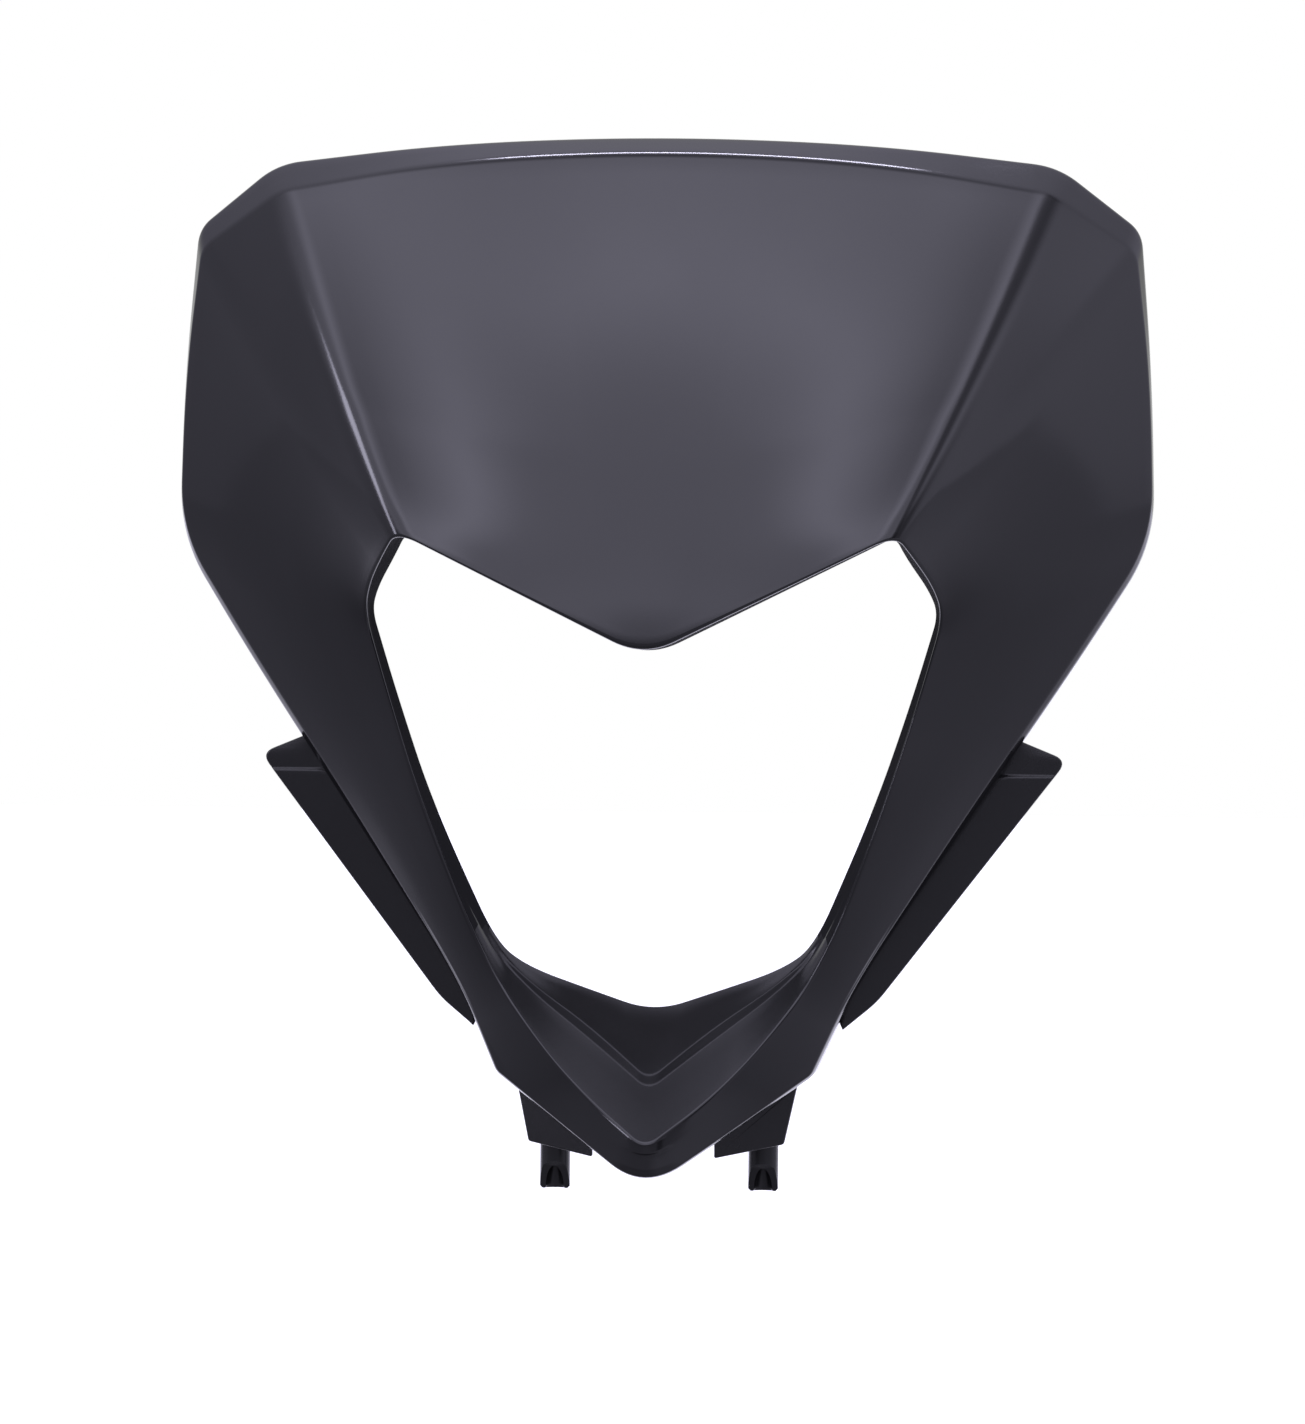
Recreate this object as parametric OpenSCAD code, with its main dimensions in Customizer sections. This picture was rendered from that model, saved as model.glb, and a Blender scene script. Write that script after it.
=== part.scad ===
// Headlight cowl for a motorbike: one thin moulded shell that wraps a lamp opening,
// with two side skirts, two lower tabs and two hollow locating pins.
// Millimetres, +Z up, the front faces -Y. The origin lies midway between the lower
// ends of the two locating pins, on the mirror plane X = 0.

/* [Moulding] */
// Wall thickness of the shell
wall = 2.5; // [1.8:0.1:3.2]
// Straight steps on each rounded corner that runs along the ring
ring_steps = 3; // [2:1:4]

/* [Outline] */
// Width over the two widest corners
cowl_w = 306; // [300:1:312]
// Height from the lower ends of the pins up to the crown of the top edge
cowl_h = 328.7; // [325:0.1:333]
// Width over the upper side corners
shoulder_w = 294; // [280:1:300]
// Width over the two upper ends of the panel creases
crease_top_w = 241; // [225:1:255]
// Height of the widest corners
widest_z = 206; // [200:1:212]
// Height of the upper side corners
shoulder_z = 295; // [288:1:300]
// Height of the upper ends of the creases
crease_top_z = 312; // [308:1:316]
// Width over the chin corners
chin_w = 98; // [94:1:104]
// Height of the chin corners
chin_corner_z = 38; // [34:1:42]
// Height at which the two chin edges would meet, below the rounded chin tip
chin_tip_z = 3.5; // [0:0.5:5]

/* [Depths] */
// Depth of the crown of the top edge
crown_y = -36; // [-42:1:-30]
// Depth of the upper ends of the creases
crease_top_y = -19; // [-24:1:-14]
// Depth of the upper side corners
shoulder_y = -5; // [-10:1:0]
// Depth of the widest corners
widest_y = -5; // [-9:1:0]
// Depth of the arm edge at its middle
arm_y = -15; // [-18:1:-11]
// Depth of the chin corners
chin_corner_y = -26; // [-30:1:-22]
// Depth of the chin tip
chin_tip_y = -60; // [-64:1:-56]
// Depth of the bend where the arms meet the chin
low_y = -30; // [-34:1:-26]
// How far the centre panel stands forward of a flat one
panel_crown = 5; // [2:0.5:8]
// How far the side panels stand forward of flat ones
side_crown = 4; // [2:0.5:6]
// How far the arms stand forward of flat ones
arm_crown = 3; // [1.5:0.5:4]
// How far the chin stands forward of a flat one
chin_crown = 1; // [0.5:0.25:2]

/* [Lamp opening] */
// Width over the upper corners of the opening
opening_top_w = 152; // [144:1:158]
// Height of the upper corners of the opening
opening_top_z = 204; // [200:1:208]
// Height at which the two brow edges would meet, below the rounded brow tip
brow_tip_z = 167; // [162:1:172]
// Depth of the brow tip
brow_y = -84; // [-88:1:-80]
// Width over the side corners of the opening
opening_w = 179; // [172:1:184]
// Height of the side corners of the opening
opening_side_z = 180; // [176:1:184]
// Depth of the side corners of the opening
opening_side_y = -46; // [-50:1:-42]
// Width of the opening where the arms bend into the chin
opening_low_w = 106; // [100:1:112]
// Height of that bend
opening_low_z = 72; // [68:1:76]
// Height at which the two lip edges would meet above the chin tip
lip_tip_z = 16.5; // [12:1:18]
// How far the brow's upper corners lie behind its tip
brow_sweep = 3; // [0:1:8]
// How far the brow turns back over the lamp
brow_back = 20; // [14:1:24]
// How far the rear edge of the brow hangs below its lip
brow_hang = 0.5; // [0:0.25:2]
// How far the lip lies behind the chin tip
chin_lip = 3; // [1:0.5:5]
// How far the lip turns in towards the lamp beside the brow
lip_in_top = 2; // [1:0.5:3]
// How far the lip turns in towards the lamp on the arms
lip_in = 3.5; // [3:0.5:6]
// How far the lip turns back towards the lamp
lip_back = 6; // [6:0.5:10]
// Height of the rear edge of the chin ramp on the mirror plane
ramp_z = 57; // [54:1:60]
// Depth of the rear edge of the chin ramp
ramp_y = -24; // [-28:1:-22]
// Rise of that edge where it meets the arms
ramp_rise = 6; // [4:0.5:8]
// Depth of the ledge across the chin ramp
ledge_d = 2; // [1:0.25:3]

/* [Return flange] */
// Depth of the chamfer along the top edge
top_chamfer = 8; // [6:1:10]
// Rise of that chamfer
top_rise = 5; // [3:0.5:7]
// Depth of the chamfer down the sides
side_chamfer = 3; // [2.5:0.5:5]
// How far that chamfer runs outwards beside the panels
side_out = 0.5; // [0.25:0.25:1.5]
// How far it runs outwards down the arms
arm_out = 1.8; // [0.5:0.1:2.5]
// How far the top chamfer runs outwards past the upper ends of the creases
corner_out = 2; // [1:0.5:4]
// Length of the flange behind the chamfer on the top edge
top_flange = 12; // [8:1:16]
// Length of the flange behind the chamfer down the sides
side_flange = 8; // [6:1:12]
// Length of the flange under the chin, back to the tabs
chin_flange = 17; // [14:1:20]
// How much longer that flange is at the chin tip
tip_flange = 7; // [3:1:9]

/* [Side skirts] */
// Height of the tip of a skirt
skirt_tip_z = 136; // [132:1:140]
// Width over the tips of the two skirts
skirt_tip_w = 254; // [246:1:260]
// Height of the ledge below the tip
skirt_ledge_z = 131; // [128:1:133]
// How far the strip above the ledge stands forward
skirt_ledge_d = 2; // [1:0.5:3]
// Height at which a skirt leaves the arm
skirt_root_z = 143; // [141:1:146]
// Width over the lower corners of the skirts
skirt_low_w = 137; // [133:1:142]
// Height of those lower corners
skirt_low_z = 60; // [57:1:63]
// How far a skirt lies behind the arm edge
skirt_set = 5; // [5:0.5:8]
// Angle at which a skirt turns back from the front
skirt_turn = 6; // [0:1:14]

/* [Lower tabs and pins] */
// Width over the outer edges of the two tabs at their lower ends
tab_w = 80; // [76:1:84]
// Width of the gap between the inner corners of the tabs
tab_gap = 38; // [34:1:42]
// Height of the outer lower corner of a tab
tab_low_z = 15.5; // [14.5:0.5:17]
// Drop of the lower edge of a tab towards the mirror plane
tab_drop = 4; // [2:0.5:5]
// Flare of the outer edge of a tab towards the chin
tab_flare = 4; // [2:0.5:7]
// How far below the chin corner that outer edge ends
tab_under = 4; // [2:0.5:6]
// Angle at which a tab turns back from the front
tab_turn = 28; // [24:1:32]
// Depth of the outer lower corner of a tab
tab_y = -14; // [-16:1:-12]
// Distance between the axes of the two pins
pin_spacing = 65.6; // [60:0.2:70]
// Outer diameter of a pin
pin_d = 9.4; // [8:0.2:11]
// Bore of a pin
pin_bore = 5.8; // [4:0.2:6.6]
// Depth of the bore from the lower end of the pin
pin_bore_depth = 15; // [11:0.5:17]
// Height of the slanted cut up the front of a pin
pin_cut = 8.7; // [6:0.1:10]
// How high that cut is where it meets the bore
pin_cut_in = 7.2; // [5:0.1:8]
// Chamfer round the lower end of a pin
pin_chamfer = 0.8; // [0.4:0.1:1.2]
// Free length of a pin below its shelf
pin_free = 17.6; // [16:0.1:19]
// Width of the shelf, wider than the pin so that a grommet stops against it
shelf_w = 12.4; // [11.5:0.1:14]
// Height of the web that stands on the shelf
web_h = 13.5; // [10:0.5:18]

/* [Screw bosses and fixing ears] */
// Distance between the screw bosses across the cowl
boss_spacing_x = 176; // [172:1:180]
// Height of the two lower bosses
boss_low_z = 125; // [120:1:130]
// Distance between the lower and the upper bosses
boss_spacing_z = 160; // [155:1:165]
// Outer diameter of a boss
boss_d = 9; // [8:0.5:10]
// Pilot bore of a boss
boss_bore = 4.2; // [3.4:0.1:4.8]
// Depth of the rear face of the bosses
boss_y = 0; // [-4:1:4]
// Depth of the pilot bores
boss_bore_depth = 11; // [8:1:12]
// Thickness of the ribs that brace a boss
rib_t = 1.6; // [1.2:0.1:2]
// How far those ribs reach out from the boss at the face
rib_reach = 7; // [5:0.5:9]
// How far below its rear face they end
rib_set = 7; // [5:0.5:10]
// Distance between the two fixing ears
ear_spacing = 236; // [228:1:240]
// Height of the bore of an ear
ear_z = 255; // [250:1:260]
// Depth of the bore of an ear
ear_y = 13; // [12:1:16]
// Bore of an ear, for a rubber bush
ear_bore = 10; // [8:0.5:12]
// Width of the rim around that bore
ear_rim = 4; // [3:0.5:6]
// Thickness of an ear
ear_t = 3; // [2.5:0.5:4]
// Height of the root of an ear
ear_root = 18; // [14:1:24]

/* [Hidden] */
$fn = 48;
shell_colour = [0.05, 0.05, 0.06];

// A corner is never rounded past this share of the side that it cuts
MOST = 0.46;
// A shift through the wall is lengthened at a sharp corner, as if the normals there kept this much
SHARPEST = 0.4;
// A setback long enough to make a corner fully smooth
SMOOTH = 400;
// Length of the cutting blocks, longer than the cowl
BIG = 400;
// Overlap that joins two forms
BITE = 1;

function mix(a, b, t) = a + (b - a) * t;
function unit(v) = v / norm(v);
function sum(list, i = 0) = i < len(list) - 1 ? list[i] + sum(list, i + 1) : list[i];
function share(setback, a, b) = min(MOST, setback / norm(b - a));

// One rounded corner: points of a quadratic curve that leaves towards a and arrives towards b
function corner(a, p, b, setback, steps) =
  let (from = mix(p, a, share(setback, p, a)), to = mix(p, b, share(setback, p, b)))
  [for (k = [0:steps]) let (t = k / steps) mix(mix(from, p, t), mix(p, to, t), t)];

// An open line of points with its inner corners rounded
function rounded_line(points, setbacks, steps) = [
  points[0],
  for (i = [1:len(points) - 2])
    each corner(points[i - 1], points[i], points[i + 1], setbacks[i], steps[i]),
  points[len(points) - 1]
];

// A closed ring of points with every corner rounded
function rounded_ring(points, setbacks, steps) =
  let (n = len(points)) [
    for (i = [0:n - 1])
      each corner(points[(i + n - 1) % n], points[i], points[(i + 1) % n], setbacks[i], steps)
  ];

// Columns of a section: rear edge of the opening, the two lines of the ledge, lip, two lines
// on the face, outer crease, rear edge of the chamfer, rear edge of the flange
OPENING = 0;
LEDGE_HIGH = 1;
LEDGE_LOW = 2;
LIP = 3;
FACE_IN = 4;
FACE_OUT = 5;
CREASE = 6;
RIM = 7;
REAR = 8;

// A point between two corners, with its own share of the way across, in depth and in height
function between(a, b, shares) = [for (k = [0:2]) mix(a[k], b[k], shares[k])];

// Corners of the lip on the right half, from the brow tip round the opening
brow_tip = [0, brow_y, brow_tip_z];
brow_corner = [opening_top_w / 2, brow_y + brow_sweep, opening_top_z];
side_corner = [opening_w / 2, opening_side_y, opening_side_z];
low_corner = [opening_low_w / 2, low_y, opening_low_z];
lip_tip = [0, chin_tip_y + chin_lip, lip_tip_z];

// Corners of the outer crease on the right half, from the crown round the edge
crown = [0, crown_y, cowl_h - top_rise];
crease_top = [crease_top_w / 2, crease_top_y, crease_top_z];
shoulder = [shoulder_w / 2, shoulder_y, shoulder_z];
widest = [cowl_w / 2, widest_y, widest_z];
arm_middle = [mix(cowl_w, chin_w, 0.54) / 2, arm_y, mix(widest_z, chin_corner_z, 0.51)];
chin_corner = [chin_w / 2, chin_corner_y, chin_corner_z];
chin_tip = [0, chin_tip_y, chin_tip_z];

// Twelve stations of the right half, each a pair of places on the lip and on the crease
lips = [
  brow_tip,
  between(brow_tip, brow_corner, [0.26, 0, 0.26]),
  brow_corner,
  between(brow_corner, side_corner, [0.35, 0.24, 0.25]),
  between(brow_corner, side_corner, [0.8, 0.67, 0.62]),
  side_corner,
  between(side_corner, low_corner, [0.2, 0.13, 0.24]),
  between(side_corner, low_corner, [0.49, 0.19, 0.55]),
  low_corner,
  between(low_corner, lip_tip, [0.28, 0.37, 0.47]),
  between(low_corner, lip_tip, [0.58, 0.56, 0.76]),
  lip_tip
];

creases = [
  crown,
  between(crown, crease_top, [0.54, 0.24, 0.25]),
  crease_top,
  shoulder,
  between(shoulder, widest, [0.8, 0.6, 0.45]),
  widest,
  between(widest, arm_middle, [0.49, 0.6, 0.5]),
  arm_middle,
  between(arm_middle, chin_corner, [0.75, 0.35, 0.68]),
  chin_corner,
  between(chin_corner, chin_tip, [0.42, 0.36, 0.43]),
  chin_tip
];

// Rear edge of the opening: the brow's and the arms' lies in from the lip and behind it
low_edge = low_corner + [-lip_in, lip_back, ramp_rise];
ramp_tip = [0, ramp_y, ramp_z];
openings = [
  lips[0] + [0, brow_back, -brow_hang],
  lips[1] + [0, brow_back, -brow_hang],
  lips[2] + [-lip_in_top / 2, brow_back, -brow_hang],
  lips[3] + [-lip_in_top, mix(brow_back, lip_back, 0.4), -2 * brow_hang],
  lips[4] + [-lip_in_top, mix(brow_back, lip_back, 0.7), -2 * brow_hang],
  lips[5] + [-lip_in_top, lip_back, 2 * brow_hang],
  lips[6] + [-mix(lip_in_top, lip_in, 0.5), lip_back, 0],
  lips[7] + [-lip_in, lip_back, 0],
  low_edge,
  between(low_edge, ramp_tip, [0.21, 0.5, 0.36]),
  between(low_edge, ramp_tip, [0.59, 0.8, 0.67]),
  ramp_tip
];

// Share of the way from the lip to the rear edge at which the two lines of the ledge run,
// and how much of the ledge there is
ledge_low = [0.5, 0.5, 0.5, 0.5, 0.5, 0.5, 0.5, 0.5, 0.6, 0.68, 0.56, 0.42];
ledge_high = [0.75, 0.75, 0.75, 0.75, 0.75, 0.75, 0.75, 0.75, 0.8, 0.79, 0.67, 0.5];
ledge_share = [0, 0, 0, 0, 0, 0, 0, 0, 0, 1, 1, 1];

// Share of the way from the lip to the crease at which the two lines on the face run
FACE_IN_SHARE = 0.14;
FACE_OUT_SHARE = 0.6;
// How far those two lines stand out at each station, and the angle at which they do
bulge_in = [
  panel_crown * 0.7, panel_crown * 0.7, side_crown, side_crown * 0.75, side_crown * 0.75, side_crown * 0.75,
  arm_crown * 0.7, arm_crown * 0.7, arm_crown * 0.5, chin_crown, chin_crown, chin_crown
];
bulge_out = [
  panel_crown, panel_crown, side_crown * 0.75, side_crown * 0.75, side_crown * 0.75, side_crown,
  arm_crown, arm_crown, arm_crown * 0.7, chin_crown, chin_crown, chin_crown
];
bulge_turn = [0, 6, 25, 40, 45, 45, 40, 40, 40, 35, 30, 0];

// Square to the arm's edge in the front view, pointing outwards
arm_side = unit([widest[2] - chin_corner[2], chin_corner[0] - widest[0]]);
function arm_bevel(out) = [out * arm_side[0], side_chamfer, out * arm_side[1]];
// Chamfer behind the outer crease at each station
top_bevel = [0, top_chamfer, top_rise];
bevels = [
  top_bevel,
  top_bevel + [0, 0, corner_out / 2],
  top_bevel + [corner_out, 0, corner_out * 2],
  [mix(side_out, corner_out, 0.7), mix(side_chamfer, top_chamfer, 0.4), top_rise * 1.3],
  [side_out, side_chamfer, -side_out / 2],
  [side_out, side_chamfer, -arm_out],
  arm_bevel(arm_out),
  arm_bevel(arm_out * 0.8),
  arm_bevel(arm_out * 0.4),
  [side_out, side_chamfer, -side_out],
  [side_out / 2, side_chamfer, -side_out],
  [0, side_chamfer, -side_out]
];
// Length of the flange behind that chamfer at each station
flanges = [
  top_flange, top_flange, top_flange, side_flange, side_flange, side_flange, side_flange, side_flange,
  mix(side_flange, chin_flange, 0.4), chin_flange, chin_flange, chin_flange + tip_flange
];

// Setbacks that round the stations, at the opening, at the lip, at the crease and behind it
opening_round = [SMOOTH, SMOOTH, 3, 8, SMOOTH, 5, SMOOTH, SMOOTH, 14, SMOOTH, SMOOTH, 10];
lip_round = [SMOOTH, SMOOTH, 2, 8, SMOOTH, 8, SMOOTH, SMOOTH, SMOOTH, SMOOTH, SMOOTH, 6];
crease_round = [SMOOTH, SMOOTH, 4, 5, SMOOTH, 16, SMOOTH, SMOOTH, 20, 1.5, SMOOTH, 16];
flange_round = [SMOOTH, SMOOTH, 8, 5, SMOOTH, 16, SMOOTH, SMOOTH, 20, 2, SMOOTH, 16];

// Setbacks that round the columns of a section
lip_edge_round = [9, 4, 2.5, 2.5, 2, 1.5, 1.5, 1.5, 1.5, 1.5, 1.5, 1.5];
ledge_round = 0.8;
crease_edge_round = 1.6;
rim_round = 1;

function section(s) =
  let (
    lip = lips[s],
    crease = creases[s],
    opening = openings[s],
    out = [sin(bulge_turn[s]), -cos(bulge_turn[s]), 0]
  ) [
    opening,
    mix(lip, opening, ledge_high[s]) + [0, ledge_d, -ledge_d / 2] * ledge_share[s],
    mix(lip, opening, ledge_low[s]),
    lip,
    mix(lip, crease, FACE_IN_SHARE) + out * bulge_in[s],
    mix(lip, crease, FACE_OUT_SHARE) + out * bulge_out[s],
    crease,
    crease + bevels[s],
    crease + bevels[s] + [0, flanges[s], 0]
  ];

function mirrored(points) = [for (p = points) [-p[0], p[1], p[2]]];

LAST = len(lips) - 1;
// Each place of the full ring holds the station that it repeats
ring_order = [for (s = [0:LAST]) s, for (s = [LAST - 1:-1:1]) s];
RING = len(ring_order);
net = [for (i = [0:RING - 1]) i <= LAST ? section(ring_order[i]) : mirrored(section(ring_order[i]))];

// Unit normal of one quad of the net, pointing out of the front
function quad_normal(i, c) =
  let (j = (i + 1) % RING)
  unit(cross(net[j][c + 1] - net[i][c], net[i][c + 1] - net[j][c]));

// Shift that carries a point of the net through the wall, square to the quads around it
function through_wall(i, c) =
  let (
    before = (i + RING - 1) % RING,
    quads = [
      for (k = [before, i]) for (d = [c - 1, c]) if (d >= OPENING && d < REAR) quad_normal(k, d)
    ],
    mean = sum(quads) / len(quads)
  )
  -mean * wall / max(SHARPEST, mean * mean);

inner_net = [
  for (i = [0:RING - 1]) [for (c = [OPENING:REAR]) net[i][c] + through_wall(i, c)]
];

function column_setback(s, c) =
  c == LIP ? lip_edge_round[s]
  : c == LEDGE_HIGH || c == LEDGE_LOW ? ledge_round
  : c == CREASE ? crease_edge_round
  : c == RIM ? rim_round
  : SMOOTH;

// Straight steps on the rounded corner of each column
column_steps = [0, 1, 1, 2, 3, 3, 2, 1, 0];

function station_setback(s, c) =
  c <= LEDGE_LOW ? opening_round[s]
  : c <= CREASE ? mix(lip_round[s], crease_round[s], (c - LIP) / (CREASE - LIP))
  : flange_round[s];

// Each fine row carries the column of the net that it belongs to
row_columns = [
  OPENING,
  for (c = [LEDGE_HIGH:RIM]) for (k = [0:column_steps[c]]) c,
  REAR
];

// A control net made into rows of rounded rings
function fine_rows(control) =
  let (
    lines = [
      for (i = [0:RING - 1])
        rounded_line(
          control[i],
          [for (c = [OPENING:REAR]) column_setback(ring_order[i], c)],
          column_steps
        )
    ]
  ) [
    for (r = [0:len(row_columns) - 1])
      rounded_ring(
        [for (i = [0:RING - 1]) lines[i][r]],
        [for (i = [0:RING - 1]) station_setback(ring_order[i], row_columns[r])],
        ring_steps
      )
  ];

front_rows = fine_rows(net);
back_rows = fine_rows(inner_net);
ROWS = len(front_rows);
AROUND = len(front_rows[0]);

// The two triangles of one quad; the diagonal turns over on the left half
function quad(a, b, c, d, left) = left ? [[a, b, d], [b, c, d]] : [[a, b, c], [a, c, d]];

function shell_faces() =
  let (back = ROWS * AROUND) [
    for (r = [0:ROWS - 2]) for (i = [0:AROUND - 1])
      let (
        j = (i + 1) % AROUND,
        left = i >= AROUND / 2,
        a = r * AROUND + i,
        b = r * AROUND + j,
        c = b + AROUND,
        d = a + AROUND
      )
      each concat(
        quad(a, d, c, b, left),
        quad(back + a, back + b, back + c, back + d, left)
      ),
    for (i = [0:AROUND - 1])
      let (
        j = (i + 1) % AROUND,
        left = i >= AROUND / 2,
        last = (ROWS - 1) * AROUND
      )
      each concat(
        quad(i, j, back + j, back + i, left),
        quad(last + j, last + i, back + last + i, back + last + j, left)
      )
  ];

module shell() {
  polyhedron(
    points = concat([for (row = front_rows) each row], [for (row = back_rows) each row]),
    faces = shell_faces(),
    convexity = 8
  );
}

// The point of the back of the face nearest to a place in the front view, with its normal
face_rows = [for (r = [0:ROWS - 1]) if (row_columns[r] == FACE_IN || row_columns[r] == FACE_OUT) r];
face_places = [for (r = face_rows) for (i = [0:AROUND - 1]) [r, i]];
function off_view(place, x, z) =
  let (p = back_rows[place[0]][place[1]])
  norm([p[0] - x, p[2] - z]);
function nearest(x, z, k = 0, best = 0) =
  k == len(face_places) ? face_places[best]
  : nearest(x, z, k + 1, off_view(face_places[k], x, z) < off_view(face_places[best], x, z) ? k : best);
function back_frame(x, z) =
  let (
    at = nearest(x, z),
    r = at[0],
    i = at[1],
    p = back_rows[r][i],
    along = back_rows[r][(i + 1) % AROUND] - back_rows[r][(i + AROUND - 1) % AROUND],
    across = back_rows[r + 1][i] - back_rows[r - 1][i],
    n = unit(cross(along, across)),
    out = n[1] > 0 ? -n : n
  )
  // depth of the tangent plane at the wanted place
  [[x, p[1] - ((x - p[0]) * out[0] + (z - p[2]) * out[2]) / out[1], z], out];

// Everything behind the plane through p, square to out, that faces forward
module behind(p, out) {
  turn = atan2(out[0], -out[1]);
  tilt = -asin(out[2]);
  translate(p)
    rotate([0, 0, turn])
      rotate([tilt, 0, 0])
        translate([-BIG / 2, 0, -BIG / 2])
          cube([BIG, BIG, BIG]);
}

// Places a form on both sides of the mirror plane
module both_sides() {
  for (side = [0, 1])
    mirror([side, 0, 0])
      children();
}

// A slab through p, square to the direction out, with its front at p
module slab(p, out, thickness) {
  turn = atan2(out[0], -out[1]);
  tilt = -asin(out[2]);
  translate(p)
    rotate([0, 0, turn])
      rotate([tilt, 0, 0])
        translate([-BIG / 2, 0, -BIG / 2])
          cube([BIG, thickness, BIG]);
}

// A front-view outline drawn as [x, z] points, carried right through in depth
module front_prism(points) {
  translate([0, BIG / 2, 0])
    rotate([90, 0, 0])
      linear_extrude(BIG)
        polygon(points);
}

// Side skirt: a flat leaf behind the arm, with a strip above the ledge that stands forward
arm_top = creases[6];
arm_low = creases[8];
skirt_root = mix(arm_top, arm_low, (arm_top[2] - skirt_root_z) / (arm_top[2] - arm_low[2]));
// How far the leaf runs in behind the arm, and down past the bend into the chin
skirt_inboard = 9;
skirt_past = 13;
skirt_tip_round = 4.5;
skirt_low_round = 4;
skirt_top = [skirt_root[0], skirt_root_z - BITE];
skirt_tip = [skirt_tip_w / 2, skirt_tip_z];
skirt_low = [skirt_low_w / 2, skirt_low_z];
skirt_end = [arm_low[0] - skirt_inboard / 3, arm_low[2] - skirt_past];
skirt_outline = [
  [skirt_root[0] - skirt_inboard, skirt_root_z + BITE],
  skirt_top,
  each corner(skirt_top, skirt_tip, skirt_low, skirt_tip_round, 3),
  each corner(skirt_tip, skirt_low, skirt_end, skirt_low_round, 2),
  skirt_end,
  [arm_low[0] - skirt_inboard, arm_low[2]]
];
// The leaf follows the edge of the arm and turns back away from it
skirt_down = unit(arm_low - skirt_root);
skirt_out = unit(cross(skirt_down, [cos(skirt_turn), sin(skirt_turn), 0]));
skirt_face = skirt_out[1] > 0 ? -skirt_out : skirt_out;

module skirt() {
  leaf_at = skirt_root + [0, skirt_set, 0];
  strip_at = leaf_at + skirt_face * skirt_ledge_d;
  intersection() {
    front_prism(skirt_outline);
    union() {
      slab(leaf_at, skirt_face, wall);
      intersection() {
        slab(strip_at, skirt_face, wall);
        translate([0, -BIG / 2, skirt_ledge_z])
          cube([BIG, BIG, BIG]);
      }
    }
  }
}

// Lower tab: a plate behind the chin with a sloped lower edge
tab_front = [sin(tab_turn), -cos(tab_turn), 0];
tab_round = 2;
tab_top = [tab_w / 2 + tab_flare, chin_corner_z - tab_under];
tab_outer = [tab_w / 2, tab_low_z];
tab_inner = [tab_gap / 2, tab_low_z - tab_drop];
tab_outline = [
  tab_top,
  each corner(tab_top, tab_outer, tab_inner, tab_round, 2),
  tab_inner,
  tab_inner + [0, 2 * tab_drop]
];
pin_x = pin_spacing / 2;
// Depth of the rear face of a tab on the pin's centre line
tab_rear_y = tab_y + (pin_x - tab_w / 2) * tan(tab_turn) + wall / cos(tab_turn);

module tab() {
  intersection() {
    front_prism(tab_outline);
    slab([tab_w / 2, tab_y, 0], tab_front, wall);
  }
  // Shelf that carries the pin, kept behind the middle of the tab, and the web that stands on it
  intersection() {
    behind([tab_w / 2, tab_y, 0] - tab_front * wall / 2, tab_front);
    translate([pin_x - shelf_w / 2, tab_rear_y - shelf_w / 2, pin_free])
      cube([shelf_w, shelf_w / 2 - tab_rear_y, wall]);
  }
  translate([pin_x, 0, pin_free])
    cylinder(d = shelf_w, h = wall);
  translate([pin_x - wall / 2, 0, pin_free + BITE])
    rotate([90, 0, 90])
      linear_extrude(wall)
        polygon([[0, 0], [0, wall], [tab_rear_y - BITE, web_h], [tab_rear_y - BITE, 0]]);
}

// Hollow pin with a slanted cut up its front
module pin() {
  translate([pin_x, 0, 0])
    difference() {
      rotate_extrude()
        polygon([
          [0, 0], [pin_d / 2 - pin_chamfer, 0], [pin_d / 2, pin_chamfer],
          [pin_d / 2, pin_free + BITE], [0, pin_free + BITE]
        ]);
      translate([0, 0, -BITE])
        cylinder(d = pin_bore, h = pin_bore_depth + BITE);
      translate([-pin_d, 0, 0])
        rotate([90, 0, 90])
          linear_extrude(2 * pin_d)
            polygon([
              [0, -BITE], [0, 0], [-pin_bore / 2, pin_cut_in], [-pin_d / 2, pin_cut],
              [-pin_d, 2 * pin_cut], [-pin_d, -BITE]
            ]);
    }
}

// Screw boss on the back of the face, with a pilot bore from behind and two bracing ribs
module boss(z) {
  x = boss_spacing_x / 2;
  frame = back_frame(x, z);
  length = boss_y - frame[0][1] + boss_d;
  difference() {
    intersection() {
      translate([x, boss_y, z])
        rotate([90, 0, 0]) {
          cylinder(d = boss_d, h = length);
          rotate([0, -90, 0])
            linear_extrude(rib_t, center = true)
              polygon([
                [rib_set, -boss_d / 2 + BITE], [rib_set, boss_d / 2 - BITE],
                [length, boss_d / 2 + rib_reach], [length, -boss_d / 2 - rib_reach]
              ]);
        }
      behind(frame[0] + frame[1] * wall / 2, frame[1]);
    }
    translate([x, boss_y + BITE, z])
      rotate([90, 0, 0])
        cylinder(d = boss_bore, h = boss_bore_depth + BITE);
  }
}

// Fixing ear: a plate square to the mirror plane's normal, with a bore for a rubber bush
module ear() {
  x = ear_spacing / 2;
  frame = back_frame(x, ear_z);
  ear_r = ear_bore / 2 + ear_rim;
  intersection() {
    translate([x - ear_t / 2, 0, 0])
      rotate([90, 0, 90])
        linear_extrude(ear_t)
          difference() {
            union() {
              translate([ear_y, ear_z])
                circle(r = ear_r);
              polygon([
                [ear_y, ear_z + ear_r], [ear_y, ear_z - ear_r],
                [frame[0][1] - ear_root, ear_z - ear_root], [frame[0][1] - ear_root, ear_z + ear_root]
              ]);
            }
            translate([ear_y, ear_z])
              circle(d = ear_bore);
          }
    behind(frame[0] + frame[1] * wall / 2, frame[1]);
  }
}

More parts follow.
